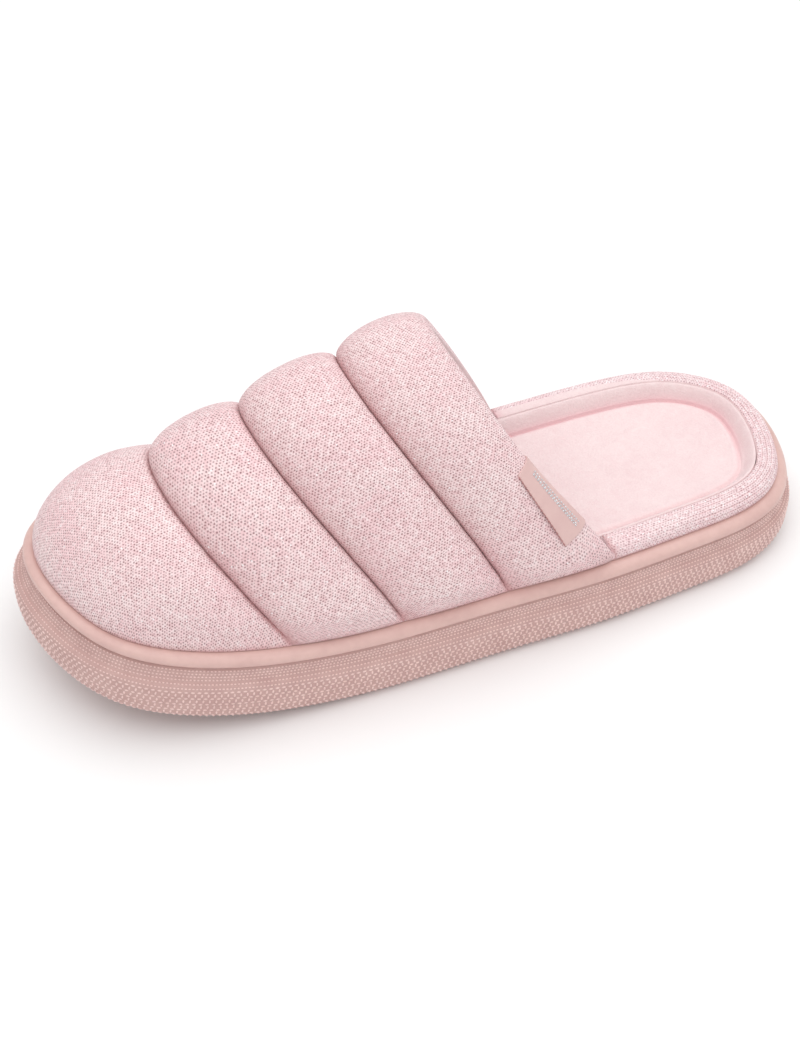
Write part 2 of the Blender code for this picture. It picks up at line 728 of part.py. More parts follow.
def build_tab(outline, parts):
    """Thin tab folded over the rear edge of the vamp on the outer side, wider at its lower end."""
    vamp = Vamp(outline)
    angles = np.linspace(0.0, math.pi / 2.0, EDGE_STEPS)
    edge = [vamp.seam_point(0.0, angle) for angle in angles]
    run = np.concatenate([[0.0], np.cumsum([np.linalg.norm(b - a) for a, b in zip(edge, edge[1:])])])
    roll_width = vamp.section(1.0)[0] - vamp.section(0.0)[0]
    rows = []
    for i in range(TAB_STEPS + 1):
        share = i / TAB_STEPS
        reach = (TAB_WIDTH + (TAB_TOP_WIDTH - TAB_WIDTH) * share) / roll_width
        path = []
        for side, shares in ((vamp.outer, TAB_OUTSIDE), (vamp.inner, TAB_INSIDE)):
            for across in shares:
                along = TAB_FOOT + TAB_LENGTH * share - (TAB_DROP * across if side == vamp.outer else 0.0)
                path.append(side(reach * across, float(np.interp(along, run, angles))))
        angle = float(np.interp(TAB_FOOT + TAB_LENGTH * share, run, angles))
        across = vamp.seam_point(0.0, angle + 0.01) - vamp.seam_point(0.0, angle - 0.01)
        across = across / np.linalg.norm(across)
        normals = []
        for k in range(len(path)):
            before = path[max(k - 1, 0)]
            after = path[min(k + 1, len(path) - 1)]
            normal = np.cross(after - before, across)
            normals.append(normal / np.linalg.norm(normal))
        if normals[0] @ vamp.outward(reach, angle) < 0.0:
            normals = [-normal for normal in normals]
        near = [p + n * CLEARANCE for p, n in zip(path, normals)]
        far = [p + n * (CLEARANCE + TAB_THICKNESS) for p, n in zip(path, normals)]
        rows.append([tuple(p) for p in near + far[::-1]])
    material = principled("tab_leather", (0.80, 0.56, 0.55), 0.45)
    return loft_open("side_tab", rows, parts, material)


def main():
    """Build the slipper."""
    clear_scene()
    parts = bpy.data.collections.new("scuff_slipper")
    cutters = bpy.data.collections.new("cutters")
    bpy.context.scene.collection.children.link(parts)
    bpy.context.scene.collection.children.link(cutters)
    outline = Outline()
    build_outsole(outline, parts, cutters)
    build_welt(outline, parts)
    build_footbed(outline, parts)
    build_vamp(outline, parts)
    build_rim(outline, parts)
    build_tab(outline, parts)


main()
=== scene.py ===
"""Looks of the scuff slipper: quilted knit upper, padded heel rim, plush footbed, satin welt and foam sole.

Metres, in the part's own frame: +X to the toe, +Y to the outer side of the foot, floor at Z = 0.
"""

import enum
import logging
import math
from dataclasses import dataclass, field, replace

import bmesh
import bpy
import numpy as np
from mathutils import Matrix, Vector


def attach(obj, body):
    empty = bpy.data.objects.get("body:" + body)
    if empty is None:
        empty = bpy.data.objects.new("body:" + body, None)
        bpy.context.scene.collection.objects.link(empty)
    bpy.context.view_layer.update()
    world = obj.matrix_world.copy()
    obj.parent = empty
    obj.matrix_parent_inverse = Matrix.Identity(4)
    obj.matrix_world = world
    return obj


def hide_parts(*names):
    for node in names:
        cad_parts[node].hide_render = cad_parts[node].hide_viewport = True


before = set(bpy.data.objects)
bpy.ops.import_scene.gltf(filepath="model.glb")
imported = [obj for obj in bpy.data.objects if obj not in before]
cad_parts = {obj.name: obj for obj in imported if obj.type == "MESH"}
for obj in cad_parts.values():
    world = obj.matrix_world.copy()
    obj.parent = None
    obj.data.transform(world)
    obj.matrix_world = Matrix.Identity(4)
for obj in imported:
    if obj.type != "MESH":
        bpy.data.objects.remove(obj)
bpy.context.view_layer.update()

Array = np.ndarray
Colour = tuple[float, float, float]
Material = bpy.types.Material
Mesh = bpy.types.Mesh
NodeTree = bpy.types.NodeTree
Object = bpy.types.Object
Socket = bpy.types.NodeSocket
LOG = logging.getLogger("slipper")
BODY = "root"
MERGE = 1e-6    # metres below which points count as one
TINY = 1e-12    # least length that a vector is divided by
STEP = 0.01     # in places and in radians, for slopes of the upper's skin


class Layer(enum.Enum):
    """Where a pattern is read: the object's own coordinates, or a layer of its mesh."""

    OBJECT = "Object"
    CLOTH = "cloth"
    # layer of painted shade: creases, course-line troughs, the foot of walls and the ends of the rim
    PAINTED_SHADE = "fold"


class Cover(enum.IntEnum):
    """Numbers of the two materials of a padded piece."""

    KNIT = 0
    PLUSH = 1


# Shape of the shoe, as in the part's source

@dataclass(frozen=True)
class ShoeSizes:
    """Driving sizes of the slipper in metres."""

    welt_length: float = 0.2658
    ball_width: float = 0.0985
    sole_height: float = 0.0212
    sole_rise: float = 0.0062
    toe_spring: float = 0.0155
    heel_lift: float = 0.0040
    side_bulge: float = 0.0020
    toe_bulge: float = 0.0052
    heel_bulge: float = 0.0024
    side_step: float = 0.0005
    tread_depth: float = 0.0015
    tread_groove: float = 0.0034
    tread_pitch: float = 0.0130
    tread_margin: float = 0.0130
    arch_length: float = 0.0500
    arch_width: float = 0.0340
    welt_height: float = 0.0046
    welt_width: float = 0.0064
    welt_bulge: float = 0.0007
    clearance: float = 0.0003
    footbed_crown: float = 0.0010
    cup_wall: float = 0.0042
    rim_height: float = 0.0057
    rim_width: float = 0.0076
    seam_inset: float = 0.0030
    upper_wall: float = 0.0030
    toe_puff_rise: float = 0.30
    roll_puff: float = 0.0062
    toe_puff: float = 0.0045
    lining_puff: float = 0.0015
    instep_height: float = 0.0725
    inner_lead: float = 0.0100
    ridge_offset: float = 0.0105
    seam_roll: float = 0.0110
    toe_roll: float = 0.0240
    rear_corner: float = 0.0040
    corner_fade: float = 0.45
    tab_length: float = 0.0310
    tab_width: float = 0.0150
    tab_top_width: float = 0.0102
    tuck_depth: float = 0.0032
    tuck_angle: float = 0.68
    tuck_spread: float = 0.40
    tuck_reach: float = 0.45
    tab_drop: float = 0.0034
    tab_thickness: float = 0.0008
    tab_foot: float = 0.0225
    spring_from: float = 0.5967
    spring_power: float = 1.75
    lift_to: float = 0.15
    lift_power: float = 2.0
    heel_tip: float = -0.025
    toe_tip: float = -0.095
    ridge_fade: float = 0.30
    toe_round: float = 50.0
    seam_curve: float = 1.15


SIZES = ShoeSizes()
REAR_ROLLS = 3

# Outline of the welt: share of the length from the heel, outer and inner half width by the ball width
OUTLINE = (
    (0.0302, 0.276, 0.250),
    (0.1008, 0.414, 0.378),
    (0.2017, 0.456, 0.415),
    (0.3227, 0.482, 0.408),
    (0.4455, 0.482, 0.397),
    (0.5765, 0.485, 0.412),
    (0.6975, 0.480, 0.462),
    (0.7983, 0.457, 0.487),
    (0.8891, 0.392, 0.448),
    (0.9597, 0.243, 0.340),
)

# Seams across the upper, rear edge first: base and ridge as shares of the length from the heel, ridge height
# as a share of the instep height, straightness of the slopes (1 is an ellipse)
SECTIONS = (
    (0.3063, 0.4757, 1.000, 1.30),
    (0.4555, 0.5937, 0.910, 1.40),
    (0.5937, 0.7197, 0.755, 1.42),
    (0.7358, 0.8356, 0.532, 1.40),
)

# Side of the outsole from floor to top edge: share of the edge height, share of the bulge, steps outwards
SIDE_PROFILE = (
    (0.00, -0.60, 0),
    (0.04, -0.05, 0),
    (0.10, 0.35, 0),
    (0.30, 0.95, 0),
    (0.50, 1.00, 0),
    (0.72, 0.80, 0),
    (0.75, 0.72, -1),
    (0.92, 0.20, -1),
    (1.00, -0.25, -1),
)

# Cross-section of the welt strip: share of its width from the outside, shares of its height and of the bulge
WELT_PROFILE = (
    (0.05, 0.00, 0.0),
    (0.00, 0.22, 0.7),
    (0.00, 0.50, 1.0),
    (0.10, 0.80, 0.6),
    (0.28, 0.97, 0.0),
    (0.46, 1.00, 0.0),
    (1.00, 1.00, 0.0),
)

# Cross-section of the padded heel rim: share of its width from the outside, share of its height
RIM_PROFILE = (
    (0.04, 0.00),
    (0.00, 0.24),
    (0.05, 0.52),
    (0.16, 0.76),
    (0.36, 0.93),
    (0.62, 1.00),
    (0.85, 1.00),
    (1.00, 0.94),
)


def smooth_step(value: Array, low: float, high: Array) -> Array:
    """0 below low, 1 above high and a smooth rise between."""
    share = np.clip((value - low) / (high - low), 0.0, 1.0)
    return share * share * (3.0 - 2.0 * share)


def unit(vectors: Array) -> Array:
    """Vectors at length 1, along the last axis."""
    return vectors / np.maximum(np.linalg.norm(vectors, axis=-1, keepdims=True), TINY)


def run_length(points: Array) -> Array:
    """Distance along a row of points, from its first one."""
    steps = np.linalg.norm(np.diff(points, axis=0), axis=1)
    return np.concatenate([[0.0], np.cumsum(steps)])


def paired(first: Array, second: Array) -> Array:
    """Pairs from two arrays that broadcast, along a new last axis."""
    return np.stack(np.broadcast_arrays(first, second), axis=-1)


def raised(flat: Array, height: Array) -> Array:
    """Points from places in plan and their heights."""
    return np.concatenate([flat, height[..., None]], axis=-1)


class Spline:
    """Cubic spline through rows of values, natural or closed."""

    def __init__(self, knots: Array, values: Array, closed: bool = False) -> None:
        """Solve for the bends.

        Args:
            knots: places of the values, one more than the values when closed.
            values: a row for each knot.
            closed: whether the last value runs on to the first.
        """
        self.knots = np.asarray(knots, float)
        self.values = np.asarray(values, float)
        self.closed = closed
        count = len(self.values)
        matrix = np.zeros((count, count))
        target = np.zeros(self.values.shape)
        steps = np.diff(self.knots)
        for i in range(count):
            if not closed and i in (0, count - 1):
                matrix[i, i] = 1.0
                continue
            before = steps[i - 1]
            after = steps[i]
            matrix[i, i - 1] += before
            matrix[i, i] += 2.0 * (before + after)
            matrix[i, (i + 1) % count] += after
            rise = (self.values[(i + 1) % count] - self.values[i]) / after
            target[i] = 6.0 * (rise - (self.values[i] - self.values[i - 1]) / before)
        self.bends = np.linalg.solve(matrix, target)

    def at(self, places: Array) -> tuple[Array, Array]:
        """Points and slopes at places.

        Args:
            places: any shape of numbers between the first and the last knot.

        Returns:
            Points and slopes, each with the values' columns as a last axis.
        """
        places = np.asarray(places, float)
        i = np.clip(np.searchsorted(self.knots, places, side="right") - 1, 0, len(self.knots) - 2)
        j = (i + 1) % len(self.values) if self.closed else i + 1
        step = (self.knots[i + 1] - self.knots[i])[..., None]
        a = (self.knots[i + 1] - places)[..., None] / step
        b = (places - self.knots[i])[..., None] / step
        low, high = self.values[i], self.values[j]
        low_bend, high_bend = self.bends[i], self.bends[j]
        point = a * low + b * high + ((a ** 3 - a) * low_bend + (b ** 3 - b) * high_bend) * step ** 2 / 6.0
        turn = (1.0 - 3.0 * a * a) * low_bend + (3.0 * b * b - 1.0) * high_bend
        slope = (high - low) / step + turn * step / 6.0
        return point, slope


def soft_profile(rows: tuple, steps: int) -> Array:
    """Smooth run of points through a short table of a cross-section.

    Args:
        rows: the table, with a place in the first two columns.
        steps: number of spans of the result.

    Returns:
        steps + 1 rows with the table's columns.
    """
    table = np.array(rows, float)
    knots = run_length(table[:, :2])
    return Spline(knots, table).at(np.linspace(0.0, knots[-1], steps + 1))[0]


class Outline:
    """Closed top edge of the outsole, run from the heel tip along the outer side to the toe and back."""

    ROUND_POINTS = 361
    SIDE_POINTS = 4001
    TIP_POWER = 6         # the higher, the nearer to the tips the bulges of toe and heel stay

    def __init__(self, sizes: ShoeSizes) -> None:
        """Lay the spline through the outline's table."""
        self.sizes = sizes
        outer = [(share * sizes.welt_length, half * sizes.ball_width) for share, half, _ in OUTLINE]
        inner = [(share * sizes.welt_length, -half * sizes.ball_width) for share, _, half in OUTLINE]
        heel = (0.0, sizes.heel_tip * sizes.ball_width)
        toe = (sizes.welt_length, sizes.toe_tip * sizes.ball_width)
        points = np.array([heel] + outer + [toe] + inner[::-1])
        steps = np.sqrt(np.linalg.norm(np.roll(points, -1, axis=0) - points, axis=1))
        steps = (steps + steps[::-1]) / 2.0
        self.spline = Spline(np.concatenate([[0.0], np.cumsum(steps)]), points, closed=True)
        self.shift = np.zeros(2)
        turns = np.linspace(0.0, 1.0, self.ROUND_POINTS)
        widest = self.at(turns, -self.sole_bulge(turns))
        self.shift = (widest.max(axis=0) + widest.min(axis=0)) / 2.0

    def at(self, turn: Array, inset: Array = 0.0) -> Array:
        """Points at shares of the way round, moved inwards by inset."""
        turn = np.asarray(turn, float)
        point, slope = self.spline.at((turn % 1.0) * self.spline.knots[-1])
        inward = unit(np.stack([slope[..., 1], -slope[..., 0]], axis=-1))
        return point + inward * np.asarray(inset, float)[..., None] - self.shift

    def turn_at(self, x: Array, inner: bool, inset: float) -> Array:
        """Shares of the way round at which the outer or inner side reaches x."""
        turns = np.linspace(0.0, 0.5, self.SIDE_POINTS)
        if inner:
            turns = 1.0 - turns
        return np.interp(x, self.at(turns, inset)[:, 0], turns)

    def sole_bulge(self, turn: Array) -> Array:
        """How far the side wall swells past the top edge."""
        facing = np.cos(2.0 * math.pi * np.asarray(turn, float))
        toe = np.maximum(-facing, 0.0) ** self.TIP_POWER
        heel = np.maximum(facing, 0.0) ** self.TIP_POWER
        s = self.sizes
        return s.side_bulge + (s.toe_bulge - s.side_bulge) * toe + (s.heel_bulge - s.side_bulge) * heel

    def share(self, x: Array) -> Array:
        """Share of the length from the heel."""
        return (x + self.shift[0]) / self.sizes.welt_length

    def x_at(self, share: Array) -> Array:
        """Place along the shoe for a share of the length."""
        return share * self.sizes.welt_length - self.shift[0]

    def spring(self, x: Array) -> Array:
        """Rise of the whole sole towards the toe."""
        s = self.sizes
        past = np.clip((self.share(x) - s.spring_from) / (1.0 - s.spring_from), 0.0, None)
        return s.toe_spring * past ** s.spring_power

    def underside(self, x: Array) -> Array:
        """Height of the sole's underside."""
        s = self.sizes
        lift = np.clip((s.lift_to - self.share(x)) / s.lift_to, 0.0, None) ** s.lift_power
        return self.spring(x) + s.heel_lift * lift

    def sole_edge(self, x: Array) -> Array:
        """Height of the outsole's top edge."""
        return self.sizes.sole_height + self.sizes.sole_rise * (self.share(x) - 0.5) + self.spring(x)

    def welt_bottom(self, x: Array) -> Array:
        """Height at which the welt strip and the footbed start."""
        return self.sole_edge(x) + self.sizes.clearance

    def welt_top(self, x: Array) -> Array:
        """Height of the top of the welt strip."""
        return self.welt_bottom(x) + self.sizes.welt_height

    def seam_height(self, x: Array) -> Array:
        """Height at which the upper and the heel rim start."""
        return self.welt_top(x) + self.sizes.clearance

    def at_seam(self, turn: Array, inset: Array) -> Array:
        """Points at the height of the bottom seam, at shares of the way round."""
        flat = self.at(turn, inset)
        return raised(flat, self.seam_height(flat[..., 0]))


# Meshes

class Patchwork:
    """Collects grids of points with their cloth coordinates and joins them into one closed mesh."""

    def __init__(self) -> None:
        """Start empty."""
        self.points: list[Array] = []
        self.cloth: list[Array] = []
        self.shade: list[Array] = []
        self.faces: list[Array] = []
        self.finishes: list[Array] = []
        self.count = 0

    def add(self, points: Array, cloth: Array | None = None, finish: int | Array = Cover.KNIT,
            shade: Array | None = None, loop: bool = False) -> None:
        """Add one grid.

        Args:
            points: rows and columns of points.
            cloth: the cloth coordinates in metres, one pair for each point.
            finish: number of the material, for all faces or for each.
            shade: painted shade of each point, from 0 to 1, kept in the fold layer.
            loop: whether the last column joins the first.
        """
        rows, columns = points.shape[:2]
        if cloth is None:
            cloth = np.zeros((rows, columns, 2))
        if shade is None:
            shade = np.zeros((rows, columns))
        numbers = np.arange(rows * columns).reshape(rows, columns) + self.count
        if loop:
            numbers = np.concatenate([numbers, numbers[:, :1]], axis=1)
        quads = np.stack([numbers[:-1, :-1], numbers[1:, :-1], numbers[1:, 1:], numbers[:-1, 1:]], axis=-1)
        self.points.append(points.reshape(-1, 3))
        self.cloth.append(cloth.reshape(-1, 2))
        self.shade.append(shade.reshape(-1))
        self.faces.append(quads.reshape(-1, 4))
        self.finishes.append(np.broadcast_to(finish, quads.shape[:2]).ravel())
        self.count += rows * columns

    def build(self, name: str, materials: list[Material]) -> Object:
        """Join the grids.

        Args:
            name: name of the object.
            materials: the materials, in the order of their numbers.

        Returns:
            The closed object, shaded smooth.
        """
        mesh = bpy.data.meshes.new(name)
        faces = np.concatenate(self.faces)
        mesh.from_pydata(np.concatenate(self.points).tolist(), [], faces.tolist())
        layers = {Layer.CLOTH: np.concatenate(self.cloth),
                  Layer.PAINTED_SHADE: np.repeat(np.concatenate(self.shade)[:, None], 2, axis=1)}
        for layer, values in layers.items():
            mesh.uv_layers.new(name=layer.value).data.foreach_set("uv", values[faces.ravel()].ravel())
        mesh.polygons.foreach_set("material_index", np.concatenate(self.finishes).astype(np.int32))
        for material in materials:
            mesh.materials.append(material)
        close_mesh(mesh)
        return show(name, mesh)


def close_mesh(mesh: Mesh) -> None:
    """Merge the doubles of a mesh, drop what has no area, and turn its faces outwards."""
    shape = bmesh.new()
    shape.from_mesh(mesh)
    bmesh.ops.remove_doubles(shape, verts=shape.verts, dist=MERGE)
    bmesh.ops.dissolve_degenerate(shape, edges=shape.edges, dist=MERGE)
    bmesh.ops.recalc_face_normals(shape, faces=shape.faces)
    shape.to_mesh(mesh)
    shape.free()
    mesh.shade_smooth()


def show(name: str, mesh: Mesh) -> Object:
    """Put a mesh in the scene as an object at the origin."""
    thing = bpy.data.objects.new(name, mesh)
    bpy.context.scene.collection.objects.link(thing)
    return thing


def plain_mesh(thing: Object) -> Object:
    """Turn an object's modifiers into plain mesh.

    Args:
        thing: the object with live modifiers.

    Returns:
        The same object with its evaluated mesh and no modifier.
    """
    bpy.context.view_layer.update()
    evaluated = thing.evaluated_get(bpy.context.evaluated_depsgraph_get())
    mesh = bpy.data.meshes.new_from_object(evaluated)
    old = thing.data
    thing.modifiers.clear()
    thing.data = mesh
    bpy.data.meshes.remove(old)
    mesh.name = thing.name
    return thing


def rungs(ring: Array, steps: int) -> Array:
    """Grid of straight rungs across a closed ring, from its outer to its inner side.

    Args:
        ring: points of the ring, an even number that starts at the heel tip.
        steps: spans of each rung.

    Returns:
        Grid of points, whose first and last rows are the two tips.
    """
    half = len(ring) // 2
    outer = ring[: half + 1]
    inner = np.concatenate([ring[:1], ring[half:][::-1]])
    share = np.linspace(0.0, 1.0, steps + 1)[None, :, None]
    return outer[:, None] * (1.0 - share) + inner[:, None] * share


# Upper

class UpperSkin:
    """Surface of the quilted upper. Place counts seams from the rear edge, and 3 to 4 is the toe roll.

    Angle runs from 0 at the outer side over the ridge to pi at the inner side.
    """

    NARROW_FROM = -0.2    # share of the seam roll, below the bottom seam, at which the swelling is none

    def __init__(self, outline: Outline) -> None:
        """Lay the splines through the seams' table."""
        self.outline = outline
        self.sizes = outline.sizes
        self.rows = Spline(np.arange(REAR_ROLLS + 1.0), np.array(SECTIONS))

    def seam_edge(self, place: Array, inner: bool) -> tuple[Array, Array]:
        """Shares of the way round and points at which cross lines meet the bottom seam."""
        s = self.sizes
        place = np.asarray(place, float)
        lead = s.inner_lead * (1.0 - place / REAR_ROLLS) if inner else 0.0
        base = self.outline.x_at(self.rows.at(place)[0][..., 0])
        turn = self.outline.turn_at(base + lead, inner, s.seam_inset)
        return turn, self.outline.at(turn, s.seam_inset)

    def arch(self, places: Array, angles: Array) -> Array:
        """Skin at seam level over the rear rolls, as a grid of places and angles."""
        s = self.sizes
        row = self.rows.at(places)[0]
        ridge_x = self.outline.x_at(row[:, 1])[:, None]
        height = (row[:, 2] * s.instep_height)[:, None]
        _, outer_edge = self.seam_edge(places, False)
        _, inner_edge = self.seam_edge(places, True)
        inner = (angles > math.pi / 2.0)[None, :, None]
        edge = np.where(inner, inner_edge[:, None], outer_edge[:, None])
        ridge_y = (-s.ridge_offset * (1.0 - s.ridge_fade * places / REAR_ROLLS))[:, None]
        up = np.abs(np.sin(angles))[None, :] ** row[:, 3][:, None]
        x = edge[..., 0] + (ridge_x - edge[..., 0]) * up ** s.seam_curve
        y = ridge_y + (edge[..., 1] - ridge_y) * np.abs(np.cos(angles))[None, :]
        side = ((1.0 - np.cos(angles)) / 2.0)[None, :]
        outer_low = self.outline.seam_height(outer_edge[:, 0])[:, None]
        inner_low = self.outline.seam_height(inner_edge[:, 0])[:, None]
        z = outer_low + (inner_low - outer_low) * side + height * up
        return np.stack([x, y, z], axis=-1)

    def toe_turns(self, angles: Array) -> Array:
        """Shares of the way round at which the toe roll's lines meet the bottom seam."""
        outer, inner = (self.seam_edge(float(REAR_ROLLS), side)[0] for side in (False, True))
        return outer + (inner - outer) * angles / math.pi

    def toe(self, shares: Array, angles: Array) -> Array:
        """Skin at seam level over the toe roll, from the last cross seam (0) to the bottom seam (1)."""
        back = self.arch(np.array([float(REAR_ROLLS)]), angles)[0]
        front = self.outline.at_seam(self.toe_turns(angles), self.sizes.seam_inset)
        full = math.radians(self.sizes.toe_round)
        arc = full * (1.0 - shares)
        across = (1.0 - np.cos(arc)) / (1.0 - math.cos(full))
        up = np.sin(arc) / math.sin(full)
        reach = np.stack([across, across, up], axis=-1)[:, None]
        return front[None] + (back - front)[None] * reach

    def seam_level(self, places: Array, angles: Array) -> Array:
        """Skin before any swelling."""
        rear = self.arch(np.minimum(places, REAR_ROLLS), angles)
        toe = self.toe(np.clip(places - REAR_ROLLS, 0.0, 1.0), angles)
        return np.where((places > REAR_ROLLS)[:, None, None], toe, rear)

    def outward(self, places: Array, angles: Array) -> Array:
        """Unit normals of the skin."""
        along = self.seam_level(np.minimum(places + STEP, REAR_ROLLS + 1.0), angles)
        along = along - self.seam_level(np.maximum(places - STEP, 0.0), angles)
        across = self.seam_level(places, np.minimum(angles + STEP, math.pi))
        across = across - self.seam_level(places, np.maximum(angles - STEP, 0.0))
        return unit(np.cross(across, along))

    def puff(self, places: Array) -> Array:
        """Share of the full swelling: 0 in a seam, 1 on top of a roll."""
        share = places - np.floor(places)
        rear = np.sqrt(np.clip(4.0 * share * (1.0 - share), 0.0, 1.0))
        toe_share = np.clip((places - REAR_ROLLS) / self.sizes.toe_puff_rise, 0.0, 1.0)
        toe = np.sqrt(1.0 - (1.0 - toe_share) ** 2)
        return np.where(places < REAR_ROLLS, rear, toe)

    def outer(self, places: Array, angles: Array) -> Array:
        """Grid of points of the outer face."""
        s = self.sizes
        point = self.seam_level(places, angles)
        rise = point[..., 2] - self.outline.seam_height(point[..., 0])
        toe = (places > REAR_ROLLS)[:, None]
        full = np.where(toe, s.toe_roll, s.seam_roll)
        narrow = smooth_step(rise, self.NARROW_FROM * s.seam_roll, full)
        swell = np.where(toe, s.toe_puff, s.roll_puff) * self.puff(places)[:, None] * narrow
        point = point + self.outward(places, angles) * swell[..., None]
        point[..., 0] += self.tuck(places, angles)
        return self.above_seam(point)

    def lining(self, places: Array, angles: Array) -> Array:
        """Grid of points of the lining face."""
        s = self.sizes
        swell = np.where(places < 1.0, s.lining_puff * self.puff(places), 0.0)[:, None, None]
        point = self.seam_level(places, angles) - self.outward(places, angles) * (s.upper_wall + swell)
        point[..., 0] += self.tuck(places, angles)
        return self.above_seam(point)

    def tuck(self, places: Array, angles: Array) -> Array:
        """Grid of shifts towards the toe that draw the rear edge in beside the side tab."""
        s = self.sizes
        along = np.exp(-((angles - s.tuck_angle) / s.tuck_spread) ** 2)[None]
        return s.tuck_depth * along * np.exp(-(places / s.tuck_reach) ** 2)[:, None]

    def corner(self, places: Array, rise: Array) -> Array:
        """How far the rounding of the rear corner moves points towards the toe."""
        s = self.sizes
        left = np.clip(1.0 - rise / s.rear_corner, 0.0, 1.0)
        fade = 1.0 - smooth_step(places, 0.0, s.corner_fade)
        return s.rear_corner * (1.0 - np.sqrt(1.0 - left * left)) * fade

    def rear_lean(self, inner: Array, rise: Array) -> Array:
        """How far the rear edge lies ahead of its bottom end, its rounded corner included."""
        s = self.sizes
        row = self.rows.at(np.zeros(1))[0][0]
        ends = [self.outline.x_at(row[1]) - self.seam_edge(0.0, side)[1][0] for side in (False, True)]
        reach = np.where(inner, ends[1], ends[0])
        return reach * (rise / s.instep_height) ** s.seam_curve + self.corner(np.zeros_like(rise), rise)

    def above_seam(self, point: Array) -> Array:
        """Keep points from reaching below the bottom seam."""
        point[..., 2] = np.maximum(point[..., 2], self.outline.seam_height(point[..., 0]))
        return point


@dataclass(frozen=True)
class Pucker:
    """Small trough that runs away from a cross seam, where the quilting pulls the cloth."""

    seam: int        # number of the seam, 0 at the rear edge
    side: int        # 1 towards the toe, -1 towards the heel
    along: float     # place along the seam, as a share of the half turn from the outer side
    width: float     # in metres, as the next two
    reach: float
    depth: float


@dataclass(frozen=True)
class Swell:
    """Broad soft hollow (negative height) or swelling of the padding."""

    place: float
    along: float
    place_reach: float
    along_reach: float
    height: float


# Puckers by seam and side: place along the seam, then width, reach and depth in millimetres
PUCKER_ROWS = {
    (1, 1): ((0.10, 3.0, 6.5, 0.8), (0.17, 2.2, 5.0, 0.6), (0.27, 3.4, 8.0, 0.7), (0.39, 2.6, 6.0, 0.5),
             (0.52, 3.6, 7.0, 0.6), (0.66, 3.0, 8.0, 0.6), (0.82, 3.0, 7.0, 0.7)),
    (1, -1): ((0.08, 2.6, 6.0, 0.8), (0.15, 3.0, 8.5, 0.6), (0.24, 2.4, 5.5, 0.6), (0.35, 3.4, 7.5, 0.6),
              (0.47, 2.6, 6.0, 0.5), (0.60, 3.2, 7.0, 0.6), (0.76, 3.0, 6.0, 0.6), (0.90, 2.8, 6.0, 0.7)),
    (2, 1): ((0.09, 2.8, 7.0, 0.8), (0.19, 3.4, 8.5, 0.6), (0.31, 2.4, 5.5, 0.6), (0.43, 3.6, 7.0, 0.5),
             (0.57, 3.0, 6.5, 0.6), (0.74, 3.4, 7.5, 0.6), (0.89, 2.6, 6.0, 0.7)),
    (2, -1): ((0.11, 3.0, 7.0, 0.8), (0.21, 2.4, 5.5, 0.6), (0.33, 3.4, 8.0, 0.7), (0.45, 2.8, 6.0, 0.5),
              (0.62, 3.4, 7.0, 0.6), (0.80, 3.0, 7.0, 0.7)),
    (3, 1): ((0.08, 3.4, 9.0, 0.9), (0.18, 2.6, 6.0, 0.7), (0.29, 3.4, 8.5, 0.7), (0.41, 2.8, 6.0, 0.6),
             (0.54, 3.8, 8.0, 0.6), (0.70, 3.0, 7.0, 0.7), (0.86, 3.2, 8.0, 0.8)),
    (3, -1): ((0.12, 2.8, 6.5, 0.8), (0.23, 3.4, 7.5, 0.7), (0.36, 2.6, 5.5, 0.6), (0.50, 3.4, 7.0, 0.6),
              (0.68, 3.0, 7.0, 0.6), (0.84, 2.8, 6.0, 0.7)),
}
PUCKERS = tuple(
    Pucker(seam, side, along, *(size / 1000.0 for size in sizes))
    for (seam, side), rows in PUCKER_ROWS.items() for along, *sizes in rows)

SWELLS = tuple(Swell(*row) for row in (
    (0.45, 0.14, 0.30, 0.05, -0.0007), (0.55, 0.30, 0.35, 0.06, 0.0006), (0.40, 0.46, 0.30, 0.07, -0.0004),
    (0.55, 0.70, 0.35, 0.09, 0.0005), (1.50, 0.12, 0.30, 0.05, 0.0005), (1.45, 0.24, 0.28, 0.05, -0.0006),
    (1.55, 0.40, 0.30, 0.07, 0.0005), (1.50, 0.62, 0.30, 0.08, -0.0005), (2.55, 0.15, 0.28, 0.06, -0.0006),
    (2.45, 0.33, 0.30, 0.06, 0.0006), (2.50, 0.55, 0.32, 0.08, -0.0004), (3.35, 0.20, 0.18, 0.07, 0.0006),
    (3.50, 0.42, 0.20, 0.08, -0.0006), (3.45, 0.68, 0.20, 0.09, 0.0005),
))


